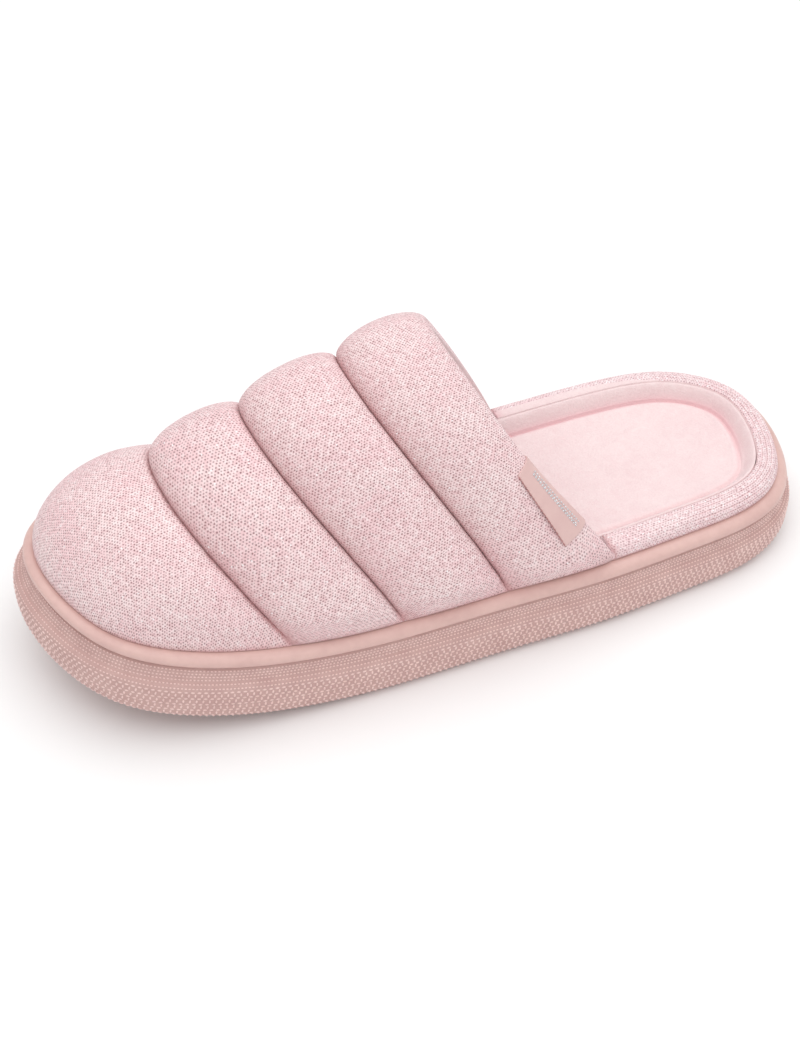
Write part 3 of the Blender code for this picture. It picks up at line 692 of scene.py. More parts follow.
@dataclass
class Upper:
    """Quilted knit upper with its plush lining."""

    skin: UpperSkin
    roll_rows: int = 40
    toe_rows: int = 60
    toe_spacing: float = 1.4         # above 1, rows lie closer beside the toe's cross seam
    columns: int = 168
    edge_rows: int = 10
    pole_columns: int = 4            # lining columns that run straight beside the toe's two ends
    crease_depth: float = 0.0011
    crease_width: float = 0.0013
    # crease_reach and low_shade: reach and strength of the painted shade on the toe-facing sides of the
    # creases and above the bottom seam
    crease_reach: float = 0.0042
    edge_bulge: float = 0.08
    low_shade: float = 0.8
    stitch_pitch: float = 0.0044
    stitch_pull: float = 0.00022
    stitch_fade: float = 0.0024
    stitch_from: float = 0.0045      # height above the bottom seam where the threads start
    pucker_start: float = 0.25       # share of a pucker's reach in which it deepens
    settle: float = 0.5              # share of the seam roll in which the relief rises
    cloth_from: float = 1.5          # place of the row where the cloth is laid first
    toe_power: float = 1.5           # how the toe's cloth adds reach and fall
    toe_turn: float = 0.412
    angles: Array = field(init=False)
    places: Array = field(init=False)

    def __post_init__(self) -> None:
        """Space the rows closely beside each seam."""
        self.angles = np.linspace(0.0, math.pi, self.columns + 1)
        share = np.arange(self.roll_rows) / self.roll_rows
        roll = (1.0 - np.cos(math.pi * share)) / 2.0
        toe = REAR_ROLLS + np.linspace(0.0, 1.0, self.toe_rows + 1) ** self.toe_spacing
        self.places = np.concatenate([roll + number for number in range(REAR_ROLLS)] + [toe])

    def row(self, place: float) -> int:
        """Number of the row at a place."""
        return int(np.argmin(np.abs(self.places - place)))

    def seam_distances(self, points: Array) -> list[Array]:
        """Signed distance over the cloth from each cross seam, along each column.

        Args:
            points: grid of the outer face.

        Returns:
            One grid for each seam after the rear edge, rising towards the toe.
        """
        steps = np.linalg.norm(np.diff(points, axis=0), axis=2)
        run = np.concatenate([np.zeros((1, points.shape[1])), np.cumsum(steps, axis=0)])
        return [run - run[self.row(seam)] for seam in range(1, REAR_ROLLS + 1)]

    def relief(self, points: Array) -> Array:
        """Height of creases, stitch pulls, puckers and soft swellings over the outer face.

        Args:
            points: grid of the outer face without them.

        Returns:
            Grid of heights in metres.
        """
        height = np.zeros(points.shape[:2])
        share = self.angles / math.pi
        for seam, distance in enumerate(self.seam_distances(points), start=1):
            along = run_length(points[self.row(seam)])
            height -= self.crease_depth * np.exp(-(distance / self.crease_width) ** 2)
            pull = np.sin(2.0 * math.pi * along / self.stitch_pitch)[None]
            height -= self.stitch_pull * pull * np.exp(-np.abs(distance) / self.stitch_fade)
            for pucker in (each for each in PUCKERS if each.seam == seam):
                away = distance * pucker.side
                middle = np.interp(pucker.along, share, along)
                across = np.exp(-((along - middle) / pucker.width) ** 2)[None]
                fade = np.where(away > 0.0, np.exp(-np.maximum(away, 0.0) / pucker.reach), 0.0)
                start = smooth_step(away, 0.0, self.pucker_start * pucker.reach)
                height -= pucker.depth * across * fade * start
        for swell in SWELLS:
            near = np.exp(-((self.places - swell.place) / swell.place_reach) ** 2)[:, None]
            height += swell.height * near * np.exp(-((share - swell.along) / swell.along_reach) ** 2)[None]
        return height

    def cloth(self, points: Array) -> Array:
        """Cloth coordinates in metres: along the seams, and from the rear edge to the toe."""
        rows, columns = points.shape[:2]
        result = np.zeros((rows, columns, 2))
        start = self.row(self.cloth_from)
        middle = run_length(points[start])
        result[start, :, 0] = middle - middle[columns // 2]
        for direction in (1, -1):
            i = start
            while 0 <= i + direction < rows:
                heading = unit(np.gradient(points[i], axis=0))
                step = points[i + direction] - points[i]
                aside = np.sum(step * heading, axis=1)
                ahead = np.sqrt(np.maximum(np.sum(step * step, axis=1) - aside ** 2, 0.0))
                result[i + direction, :, 0] = result[i, :, 0] + aside
                result[i + direction, :, 1] = result[i, :, 1] + direction * ahead
                i += direction
        seam = self.row(REAR_ROLLS)
        away = points[seam + 1:] - points[seam, columns // 2]
        flat = np.linalg.norm(away[..., :2], axis=2)
        fall = np.maximum(-away[..., 2], 0.0)
        arc = (flat ** self.toe_power + fall ** self.toe_power) ** (1.0 / self.toe_power)
        stretch = arc / np.maximum(flat, MERGE)
        along, ahead = -away[..., 1] * stretch, away[..., 0] * stretch
        cos, sin = math.cos(self.toe_turn), math.sin(self.toe_turn)
        result[seam + 1:, :, 0] = along * cos + ahead * sin
        result[seam + 1:, :, 1] = ahead * cos - along * sin + result[seam, columns // 2, 1]
        return result

    def faces(self) -> tuple[Array, Array, Array]:
        """Grids of the finished outer face, of the same face without relief, and of the lining face."""
        skin = self.skin
        outline = skin.outline
        inset = outline.sizes.seam_inset
        smooth = skin.outer(self.places, self.angles)
        lining = skin.lining(self.places, self.angles)
        rise = smooth[..., 2] - outline.seam_height(smooth[..., 0])
        normals = skin.outward(self.places, self.angles)
        settle = smooth_step(rise, 0.0, self.settle * outline.sizes.seam_roll)
        outer = smooth + normals * (self.relief(smooth) * settle)[..., None]
        shift = skin.corner(self.places[:, None], rise)
        for grid in (outer, smooth, lining):
            grid[..., 0] += shift
        walls = ((outer, 0.0), (smooth, 0.0), (lining, outline.sizes.upper_wall))
        for column, inner in ((0, False), (-1, True)):
            _, base = skin.seam_edge(np.minimum(self.places, REAR_ROLLS), inner)
            base_x = base[:, 0] + skin.corner(self.places, np.zeros_like(self.places))
            turns = outline.turn_at(base_x, inner, inset)
            for grid, wall in walls:
                grid[:, column] = outline.at_seam(turns, inset + wall)
        for grid, wall in walls:
            grid[-1] = outline.at_seam(skin.toe_turns(self.angles), inset + wall)
        toe = self.places > REAR_ROLLS
        for start, step in ((0, 1), (-1, -1)):
            near = lining[toe, start]
            far = lining[toe, start + step * self.pole_columns]
            for number in range(1, self.pole_columns):
                lining[toe, start + step * number] = near + (far - near) * number / self.pole_columns
        return outer, smooth, lining

    def painted_crease_shade(self, points: Array) -> Array:
        """Painted shade of each point: in the creases, more on the side that faces the toe, and just above
        the bottom seam.
        """
        shade = np.zeros(points.shape[:2])
        for distance in self.seam_distances(points):
            toe_facing = np.exp(-np.abs(distance) / self.crease_reach)
            heel_facing = np.exp(-(distance / self.crease_width) ** 2)
            shade = np.maximum(shade, np.where(distance < 0.0, toe_facing, heel_facing))
        low = points[..., 2] - self.skin.outline.seam_height(points[..., 0])
        return np.maximum(shade, self.low_shade * np.exp(-np.maximum(low, 0.0) / self.crease_width))

    def stitch_paths(self) -> list[Array]:
        """Paths of the stitches at the bottom of the creases."""
        outer, _, _ = self.faces()
        rise = outer[..., 2] - self.skin.outline.seam_height(outer[..., 0])
        rows = [self.row(seam) for seam in range(1, REAR_ROLLS + 1)]
        return [outer[row][rise[row] > self.stitch_from] for row in rows]

    def build(self, knit: Material, plush: Material) -> Object:
        """Join outer face, rolled rear edge, lining and bottom seam into one closed piece."""
        outer, smooth, lining = self.faces()
        patches = Patchwork()
        cloth = self.cloth(smooth)
        patches.add(outer, cloth, Cover.KNIT, self.painted_crease_shade(smooth))
        patches.add(lining[::-1], finish=Cover.PLUSH)
        back = unit(outer[0] - outer[1])
        middle = (outer[0] + lining[0]) / 2.0
        half = (outer[0] - lining[0]) / 2.0
        turn = np.linspace(0.0, math.pi, self.edge_rows + 1)[:, None, None]
        bulge = np.linalg.norm(half, axis=1)[None, :, None]
        round_back = self.edge_bulge * bulge * np.sin(turn) ** 2
        edge = self.skin.above_seam(middle[None] + half[None] * np.cos(turn) + back[None] * round_back)
        edge_cloth = np.repeat(cloth[:1], self.edge_rows + 1, axis=0)
        edge_cloth[..., 1] -= bulge[..., 0] * turn[..., 0]
        patches.add(edge[::-1], edge_cloth[::-1], Cover.KNIT)
        patches.add(np.stack([outer[-1], lining[-1]]), finish=Cover.PLUSH)
        for column in (0, -1):
            strip = np.stack([outer[:, column], lining[:, column]], axis=1)
            patches.add(strip if column else strip[:, ::-1], finish=Cover.PLUSH)
        return patches.build("quilted_upper", [knit, plush])


# Heel rim, footbed and welt

@dataclass
class HeelRim:
    """Padded knit rim round the heel, from one end of the upper to the other."""

    skin: UpperSkin
    steps: int = 480
    profile_steps: int = 64
    course_pitch: float = 0.00175
    course_depth: float = 0.00034
    course_power: float = 0.5
    course_level: float = 0.8
    courses: int = 6
    first_course: float = 0.0026
    courses_rise: tuple[float, float] = (-0.12, -0.02)    # turns over which the courses start and end
    courses_fall: tuple[float, float] = (0.10, 0.20)
    # line_share, line_shade, low_shade and end_shade size the painted shade of the rim
    line_share: float = 0.45         # share of a wave's height that is shaded
    line_shade: float = 0.8
    low_shade: float = 0.0006        # reach of the shade above the welt
    end_shade: float = 0.0016        # reach of the shade beside the upper
    fade: float = 0.16
    plush_from: float = 0.60
    plush_above: float = 0.7
    plush_turns: tuple[float, float] = (0.07, 0.15)

    def ends(self) -> tuple[float, float]:
        """Shares of the way round at the inner and the outer end."""
        outline = self.skin.outline
        s = outline.sizes
        rear = outline.x_at(SECTIONS[0][0])
        outer = outline.turn_at(rear - s.clearance, False, s.seam_inset)
        inner = outline.turn_at(rear + s.inner_lead - s.clearance, True, s.seam_inset) - 1.0
        return float(inner), float(outer)

    def build(self, knit: Material, plush: Material) -> Object:
        """Run the rounded section round the heel, with course lines over its back and outer side."""
        outline = self.skin.outline
        s = outline.sizes
        inner_end, outer_end = self.ends()
        run = np.linspace(0.0, 1.0, self.steps + 1)
        turns = inner_end + (outer_end - inner_end) * run
        profile = soft_profile(RIM_PROFILE, self.profile_steps)
        across = run_length(profile * np.array([s.rim_width, s.rim_height]))
        near_end = smooth_step(np.abs(run - 0.5), (1.0 - self.fade) / 2.0, 0.5)[:, None]
        flat = outline.at(turns[:, None], s.seam_inset + profile[None, :, 0] * s.rim_width)
        rise = profile[None, :, 1] * s.rim_height * np.ones_like(near_end)
        lean = self.skin.rear_lean((run < 0.5)[:, None], rise) * near_end
        low = outline.seam_height(flat[..., 0])
        points = np.stack([flat[..., 0] + lean, flat[..., 1], low + rise], axis=-1)
        normals = unit(np.cross(np.gradient(points, axis=1), np.gradient(points, axis=0)))
        last = self.first_course + self.courses * self.course_pitch
        in_courses = smooth_step(across, self.first_course - self.course_pitch, self.first_course)
        in_courses = in_courses * (1.0 - smooth_step(across, last, last + self.course_pitch))
        round_heel = smooth_step(turns, *self.courses_rise) * (1.0 - smooth_step(turns, *self.courses_fall))
        waves = np.abs(np.sin(math.pi * (across - self.first_course) / self.course_pitch))
        depth = self.course_depth * (waves ** self.course_power - self.course_level)
        points = points + normals * (round_heel[:, None] * (in_courses * depth)[None])[..., None]
        # painted shade: in the troughs of the course waves, above the welt and beside the upper's ends
        in_lines = in_courses * np.clip(1.0 - waves / self.line_share, 0.0, 1.0)
        lines = self.line_shade * round_heel[:, None] * in_lines[None]
        length = run_length(points[:, self.profile_steps // 2])
        to_end = np.minimum(length, length[-1] - length)[:, None]
        edges = np.maximum(np.exp(-across / self.low_shade)[None], np.exp(-to_end / self.end_shade))
        cloth = paired(length[:, None], across[None])
        middle = (profile[1:, 0] + profile[:-1, 0])[None] / 2.0
        border = 1.0 - (1.0 - self.plush_from) * smooth_step(-turns[:-1], *self.plush_turns)[:, None]
        plush_faces = (middle > border) & (profile[1:, 1] > self.plush_above)[None]
        patches = Patchwork()
        patches.add(points, cloth, np.where(plush_faces, Cover.PLUSH, Cover.KNIT), np.maximum(lines, edges))
        foot = np.stack([points[:, -1], points[:, -1]], axis=1)
        foot[:, 1, 0] += self.skin.rear_lean(run < 0.5, np.zeros_like(run)) * near_end[:, 0] - lean[:, -1]
        foot[:, 1, 2] = outline.seam_height(foot[:, 1, 0])
        patches.add(foot, np.stack([cloth[:, -1], cloth[:, -1]], axis=1), Cover.PLUSH)
        patches.add(np.stack([foot[:, 1], points[:, 0]], axis=1))
        for end in (0, -1):
            patches.add(self.cap(np.concatenate([points[end], foot[end, 1:]])))
        return patches.build("knit_heel_rim", [knit, plush])

    @staticmethod
    def cap(section: Array) -> Array:
        """Fan from a section's centre to its closed outline."""
        closed = np.concatenate([section, section[:1]])
        centre = np.repeat(section.mean(axis=0)[None], len(closed), axis=0)
        return np.stack([centre, closed])


@dataclass
class Footbed:
    """Plush footbed: flat under the upper, with a sloping cup wall inside the heel rim."""

    outline: Outline
    steps: int = 480
    rung_steps: int = 60
    wall_steps: int = 26
    cup_fade: tuple[float, float] = (3.0 / 72.0, 9.0 / 72.0)    # in lengths of the shoe past the rim
    wall_start: float = 0.1
    wall_power: float = 0.8
    top_dip: float = 0.07            # how far the wall's top is rounded down, and over which share
    top_round: float = 0.06
    flat_rise: float = 4.0
    # wall_shade, fold_shade and near_side: painted shade at the cup wall's foot and in the fold, less of it
    # on the near side
    wall_shade: float = 4.0          # powers with which the shade gathers at the wall's foot and in the fold
    fold_shade: float = 1.5
    near_side: float = 0.8           # how much less shade the near side has
    fold_rings: int = 16
    fold_start: float = 0.1
    fold_depth: float = 0.0011
    fold_width: float = 0.0010
    fold_reach: float = 3.0
    shade_width: float = 0.03
    dish: float = 0.0012
    dish_width: float = 0.05
    dish_power: int = 4

    def open_heel(self, points: Array) -> Array:
        """1 in the heel and 0 under the upper."""
        s = self.outline.sizes
        rear = self.outline.x_at(SECTIONS[0][0]) + np.where(points[:, 1] < 0.0, s.inner_lead, 0.0)
        low, high = (rear + end * s.welt_length for end in self.cup_fade)
        return 1.0 - smooth_step(points[:, 0], low, high)

    def build(self, plush: Material) -> Object:
        """Rings from the underside over the cup wall, then rungs across the sole of the foot."""
        s = self.outline.sizes
        side = s.welt_width + s.clearance
        rim = s.seam_inset + s.rim_width + s.clearance
        wall_top = s.clearance + s.rim_height * RIM_PROFILE[-1][1]
        turns = np.arange(self.steps) / self.steps
        edge = self.outline.at(turns)
        heel = self.open_heel(edge)
        # painted shade in the heel cup, weaker on the near side where the wall faces away
        dark = heel * (1.0 - self.near_side * smooth_step(edge[:, 1], 0.0, self.shade_width))

        def ring(vamp_inset: float, heel_inset: float, over_vamp: float, over_heel: float) -> Array:
            """One row of points, whose inset and height differ between upper and heel."""
            flat = self.outline.at(turns, vamp_inset + (heel_inset - vamp_inset) * heel)
            rise = over_vamp + (over_heel - over_vamp) * heel
            return raised(flat, self.outline.welt_top(flat[:, 0]) + rise)

        rows = [
            ring(side, side, -s.welt_height, -s.welt_height),
            ring(side, side, 0.0, 0.0),
            ring(side + self.wall_start * s.cup_wall, rim, 0.0, 0.0),
        ]
        shades = [np.zeros(self.steps)] * len(rows)
        for share in np.linspace(0.0, 1.0, self.wall_steps + 1):
            fall = (0.5 + 0.5 * math.cos(math.pi * share)) ** self.wall_power
            rounding = 1.0 - self.top_dip * math.exp(-share / self.top_round)
            height = s.footbed_crown + (wall_top - s.footbed_crown) * fall * rounding
            flat = s.footbed_crown * (0.5 + 0.5 * min(share * self.flat_rise, 1.0))
            inset = share * s.cup_wall
            rows.append(ring(side + inset, rim + inset, flat, height))
            shades.append(dark * share ** self.wall_shade)
        for share in np.linspace(self.fold_start, 1.0, self.fold_rings):
            distance = share * self.fold_reach * self.fold_width
            fold = self.fold_depth * math.exp(-(distance / self.fold_width - 0.5) ** 2)
            inset = s.cup_wall + distance
            rows.append(ring(side + inset, rim + inset, s.footbed_crown, s.footbed_crown - fold))
            shades.append(dark * (1.0 - share) ** self.fold_shade)
        patches = Patchwork()
        patches.add(np.stack(rows), shade=np.stack(shades), loop=True)
        inside = rungs(rows[-1], self.rung_steps)
        across = np.linspace(-1.0, 1.0, self.rung_steps + 1)[None]
        wide = np.linalg.norm(inside[:, 0] - inside[:, -1], axis=1)[:, None]
        dip = smooth_step(wide, 0.0, self.dish_width) * (1.0 - across ** self.dish_power)
        inside[..., 2] -= self.dish * dip
        patches.add(inside)
        patches.add(rungs(rows[0], 1))
        return patches.build("plush_footbed", [plush])


@dataclass
class Welt:
    """Smooth satin strip that wraps the top edge of the sole."""

    outline: Outline
    steps: int = 720
    profile_steps: int = 22

    def build(self, satin: Material) -> Object:
        """Run the convex section round the shoe."""
        s = self.outline.sizes
        profile = soft_profile(WELT_PROFILE, self.profile_steps)
        profile = np.concatenate([profile, [[1.0, 0.0, 0.0]]])
        turns = np.arange(self.steps) / self.steps
        inset = profile[:, 0] * s.welt_width - profile[:, 2] * s.welt_bulge
        flat = self.outline.at(turns[None], inset[:, None])
        points = raised(flat, self.outline.welt_bottom(flat[..., 0]) + profile[:, 1:2] * s.welt_height)
        points = np.concatenate([points, points[:1]])
        across = run_length(points[:, 0])
        along = run_length(points[len(points) // 3])
        patches = Patchwork()
        patches.add(points, paired(along[None], across[:, None]), loop=True)
        return patches.build("satin_welt", [satin])


# Outsole

@dataclass
class Outsole:
    """Foam rubber sole with a step below the welt, tread grooves, an arch relief and rows of bricks."""

    outline: Outline
    steps: int = 720
    side_steps: int = 40
    floor_steps: int = 24
    path_detail: int = 4
    groove_spans: int = 32
    forefoot_grooves: int = 6
    heel_grooves: int = 4
    forefoot_tread: float = 0.5689
    heel_tread: float = 0.1023
    wave: float = 0.0022
    wave_turns: float = 2.0
    arch_share: float = 0.4259
    arch_offset: float = 0.0040
    arch_segments: int = 64
    sharp_angle: float = 50.0

    def side(self) -> tuple[Array, Array]:
        """Grid of the side wall from the floor to the top edge, and the shares of the height of its rows."""
        profile = soft_profile(SIDE_PROFILE, self.side_steps)
        turns = np.arange(self.steps) / self.steps
        bulge = self.outline.sole_bulge(turns)
        inset = -profile[:, 1:2] * bulge[None] - profile[:, 2:3] * self.outline.sizes.side_step
        flat = self.outline.at(np.broadcast_to(turns, inset.shape), inset)
        low = self.outline.underside(flat[..., 0])
        height = low + (self.outline.sole_edge(flat[..., 0]) - low) * profile[:, :1]
        return raised(flat, height), profile[:, 0]

    def brick_rows(self, shares: tuple[float, ...], pitch: float) -> list[Array]:
        """Closed paths round the side wall, every other one moved on by half a brick.

        Args:
            shares: heights of the rows as shares of the edge height.
            pitch: length of a brick and its gap.

        Returns:
            One path for each row.
        """
        side, heights = self.side()
        paths = []
        for number, share in enumerate(shares):
            place = np.interp(share, heights, np.arange(len(heights)))
            low = min(int(place), len(side) - 2)
            row = side[low] + (place - low) * (side[low + 1] - side[low])
            closed = np.concatenate([row, row[:1]])
            run = run_length(closed)
            fine = np.linspace(0.0, run[-1], self.path_detail * self.steps, endpoint=False)
            fine = (fine + 0.5 * pitch * (number % 2)) % run[-1]
            paths.append(np.stack([np.interp(fine, run, closed[:, k]) for k in range(3)], axis=1))
        return paths

    def grooves(self) -> Object:
        """Wavy bars for the tread grooves across the forefoot and the heel."""
        s = self.outline.sizes
        patches = Patchwork()
        fields = ((self.forefoot_tread, self.forefoot_grooves), (self.heel_tread, self.heel_grooves))
        places = [self.outline.x_at(start) + number * s.tread_pitch
                  for start, count in fields for number in range(count)]
        share = np.linspace(0.0, 1.0, self.groove_spans + 1)
        for place in places:
            turns = [self.outline.turn_at(place, inner, 0.0) for inner in (False, True)]
            outer, inner = (self.outline.at(turn, s.tread_margin)[1] for turn in turns)
            y = np.linspace(inner, outer, self.groove_spans + 1)
            x = place + self.wave * np.sin(2.0 * math.pi * self.wave_turns * share)
            top = self.outline.underside(place) + s.tread_depth
            low = -2.0 * s.tread_depth
            corners = ((-0.5, low), (-0.5, top), (0.5, top), (0.5, low))
            bar = np.stack([raised(np.stack([x + side * s.tread_groove, y], axis=-1), np.full_like(y, z))
                            for side, z in corners])
            patches.add(np.concatenate([bar, bar[:1]]))
            for end in (0, -1):
                patches.add(np.stack([bar[:2, end], bar[2:, end][::-1]]))
        return patches.build("groove_cutter", [])

    def arch(self) -> Object:
        """Oval cutter for the relief under the arch."""
        s = self.outline.sizes
        shape = bmesh.new()
        bmesh.ops.create_cone(shape, cap_ends=True, segments=self.arch_segments, radius1=0.5, radius2=0.5,
                              depth=2.0 * s.tread_depth)
        bmesh.ops.scale(shape, vec=(s.arch_length, s.arch_width, 1.0), verts=shape.verts)
        middle = (self.outline.x_at(self.arch_share), self.arch_offset, 0.0)
        bmesh.ops.translate(shape, vec=middle, verts=shape.verts)
        mesh = bpy.data.meshes.new("arch_cutter")
        shape.to_mesh(mesh)
        shape.free()
        return show("arch_cutter", mesh)

    def build(self, foam: Material) -> Object:
        """Loft the sole and cut its underside."""
        side, _ = self.side()
        across = run_length(side[:, 0])
        along = run_length(side[self.side_steps // 2])
        patches = Patchwork()
        patches.add(side, paired(along[None], across[:, None]), loop=True)
        patches.add(rungs(side[0], self.floor_steps))
        patches.add(rungs(side[-1], 1))
        sole = patches.build("foam_outsole", [foam])
        cutters = (self.grooves(), self.arch())
        for cutter in cutters:
            cut = sole.modifiers.new(cutter.name, "BOOLEAN")
            cut.operation = "DIFFERENCE"
            cut.solver = "MANIFOLD"
            cut.object = cutter
        plain_mesh(sole)
        for cutter in cutters:
            bpy.data.objects.remove(cutter, do_unlink=True)
        sole.data.set_sharp_from_angle(angle=math.radians(self.sharp_angle))
        return sole


# Side tab

@dataclass
class SideTab:
    """Thin tab folded over the rear edge of the upper on the outer side, wider at its lower end."""

    skin: UpperSkin
    along_steps: int = 60
    across_steps: int = 40
    inside_steps: int = 8
    edge_points: int = 400
    spacing: float = 1.4             # above 1, columns lie closer at the fold
    inside_share: float = 0.25       # reach inside, as a share of the reach outside
    hem_and_shadow: float = 0.985               # place of the stitches, as a share of the width
    sink: float = 0.25               # shares of the CAD's clearance, thickness and width
    thin: float = 0.6
    slim: float = 0.86
    edge_round: float = 0.3
    edge_angle: float = 60.0
    dot_rows: tuple[float, ...] = (0.20, 0.275, 0.35)
    dot_span: tuple[float, float] = (0.10, 0.86)

    def shell(self) -> tuple[Array, Array, Array]:
        """Grids of the tab's inner and outer face, and the shares of the width of the columns outside."""
        s = self.skin.sizes
        zero = np.zeros(1)
        fine = np.linspace(0.0, math.pi / 2.0, self.edge_points)
        run = run_length(self.skin.seam_level(zero, fine)[0])
        base = self.skin.outline.x_at(self.skin.rows.at(np.array([0.0, 1.0]))[0][:, 0])
        shares = np.linspace(1.0, 0.0, self.across_steps) ** self.spacing
        number = np.arange(self.across_steps)
        inside_places = self.inside_share * np.linspace(0.0, 1.0, self.inside_steps)[1:]
        near = self.sink * s.clearance
        grids: tuple[list[Array], list[Array]] = ([], [])
        for along in np.linspace(0.0, 1.0, self.along_steps + 1):
            width = self.slim * (s.tab_width + (s.tab_top_width - s.tab_width) * along)
            reach = width / (base[1] - base[0])
            fold = s.tab_foot + s.tab_length * along
            angles = np.interp(fold - s.tab_drop * shares, run, fine)
            outside = self.skin.outer(reach * shares, angles)[number, number]
            angle = np.interp(np.array([fold]), run, fine)
            inside = self.skin.lining(reach * inside_places, angle)[:, 0]
            path = np.concatenate([outside, inside])
            heading = self.skin.seam_level(zero, angle + STEP) - self.skin.seam_level(zero, angle - STEP)
            normals = unit(np.cross(np.gradient(path, axis=0), unit(heading)[0, 0]))
            if normals[0] @ self.skin.outward(np.array([reach]), angle)[0, 0] < 0.0:
                normals = -normals
            for grid, lift in zip(grids, (near, near + self.thin * s.tab_thickness)):
                grid.append(path + normals * lift)
        return np.stack(grids[0]), np.stack(grids[1]), shares

    def column_paths(self, columns: tuple[float, ...], first: int, last: int,
                     stagger: int = 0) -> list[Array]:
        """Paths along the tab on its outer face.

        Args:
            columns: shares of the width, 0 at the folded side.
            first: number of the first row.
            last: number of the row after the last.
            stagger: rows by which every other path starts later.

        Returns:
            One path for each share.
        """
        _, far, shares = self.shell()
        nearest = [int(np.argmin(np.abs(shares - column))) for column in columns]
        return [far[first + stagger * (i % 2):last, column] for i, column in enumerate(nearest)]

    def stitch_paths(self) -> list[Array]:
        """Path of the hem thread and of the painted shadow line beside the sewn side."""
        return self.column_paths((self.hem_and_shadow,), 2, self.along_steps - 1)

    def dot_paths(self) -> list[Array]:
        """Paths of the rows of dots beside the folded side."""
        first, last = (round(share * self.along_steps) for share in self.dot_span)
        return self.column_paths(self.dot_rows, first, last, stagger=1)

    def build(self, leather: Material) -> Object:
        """Wrap the tab from the outer face round the rear edge to the lining."""
        s = self.skin.sizes
        near, far, _ = self.shell()
        along = np.linspace(0.0, s.tab_length, self.along_steps + 1)
        patches = Patchwork()
        patches.add(far, paired(along[:, None], run_length(far[0])[None]))
        patches.add(near[::-1])
        for column in (0, -1):
            patches.add(np.stack([far[:, column], near[:, column]]))
        for row in (0, -1):
            patches.add(np.stack([far[row], near[row]]))
        tab = patches.build("folded_side_tab", [leather])
        soften = tab.modifiers.new("edge", "BEVEL")
        soften.width = self.edge_round * s.tab_thickness
        soften.segments = 2
        soften.limit_method = "ANGLE"
        soften.angle_limit = math.radians(self.edge_angle)
        return plain_mesh(tab)


# Small pieces along paths

@dataclass(frozen=True)
class Bead:
    """Rounded small piece that repeats along a path: its pitch and its three sizes in metres."""

    pitch: float
    length: float
    height: float
    out: float
    swing: float = 0.0     # degrees by which each piece is turned at random
    detail: int = 1


SEAM_STITCH = Bead(pitch=0.0044, length=0.0036, height=0.0005, out=0.0005, swing=4.0)
# beads close enough to form one dark line: hem thread and painted shadow
TAB_HEM_AND_SHADOW = Bead(pitch=0.0016, length=0.0018, height=0.00060, out=0.00050, swing=2.0)
TAB_DOT = Bead(pitch=0.00118, length=0.00086, height=0.00086, out=0.00060, detail=2)
SOLE_BRICKS = (
    ("upright_bricks", (0.10, 0.22, 0.34, 0.46, 0.58), Bead(0.0021, 0.00075, 0.00165, 0.00060, 6.0)),
    ("level_bricks", (0.16, 0.28, 0.40, 0.52, 0.64), Bead(0.0021, 0.00150, 0.00075, 0.00060, 5.0)),
    ("fine_bricks", (0.70, 0.75, 0.80, 0.85, 0.90, 0.95), Bead(0.0012, 0.00085, 0.00062, 0.00044, 10.0)),
)


class NodeBoard:
    """Adds and links nodes in one tree."""

    COLUMNS = 12
    SPACING = (180.0, -220.0)

    def __init__(self, tree: NodeTree) -> None:
        """Work on one tree."""
        self.tree = tree

    def node(self, kind: str, feeds: dict | None = None, **settings: object) -> bpy.types.Node:
        """New node with its properties set, and its inputs fed by name or number."""
        made = self.tree.nodes.new(kind)
        row, column = divmod(len(self.tree.nodes), self.COLUMNS)
        made.location = (self.SPACING[0] * column, self.SPACING[1] * row)
        for name, value in settings.items():
            setattr(made, name, value)
        for socket, source in (feeds or {}).items():
            self.feed(made.inputs[socket], source)
        return made

    def feed(self, target: Socket, source: object) -> None:
        """Link a socket or a node's first output, or set a plain value."""
        if isinstance(source, bpy.types.Node):
            source = source.outputs[0]
        if isinstance(source, bpy.types.NodeSocket):
            self.tree.links.new(source, target)
        else:
            target.default_value = source

    def maths(self, operation: str, *values: object) -> Socket:
        """Result of a Math node."""
        return self.node("ShaderNodeMath", dict(enumerate(values)), operation=operation).outputs[0]

    def vector(self, operation: str, feeds: dict) -> Socket:
        """Result of a Vector Math node."""
        return self.node("ShaderNodeVectorMath", feeds, operation=operation).outputs[0]

    def mix(self, share: object, first: object, second: object) -> Socket:
        """Mixed colour."""
        first, second = ((*each, 1.0) if isinstance(each, tuple) else each for each in (first, second))
        feeds = {0: share, 6: first, 7: second}
        return self.node("ShaderNodeMix", feeds, data_type="RGBA", clamp_factor=True).outputs[2]

    def span(self, value: object, low: float, high: float, to_low: float = 0.0,
             to_high: float = 1.0) -> Socket:
        """Value moved from one range to another, held at its ends."""
        values = dict(enumerate((value, low, high, to_low, to_high)))
        return self.node("ShaderNodeMapRange", values, clamp=True).outputs[0]

    def noise(self, place: object, scale: object, detail: float, **settings: object) -> bpy.types.Node:
        """Noise node, whose first output is its value."""
        feeds = {"Vector": place, "Scale": scale, "Detail": detail}
        return self.node("ShaderNodeTexNoise", feeds, **settings)

    def bump(self, height: Socket, strength: float, distance: float) -> Socket:
        """Normal from a height."""
        feeds = {"Strength": strength, "Distance": distance, "Height": height}
        return self.node("ShaderNodeBump", feeds).outputs[0]


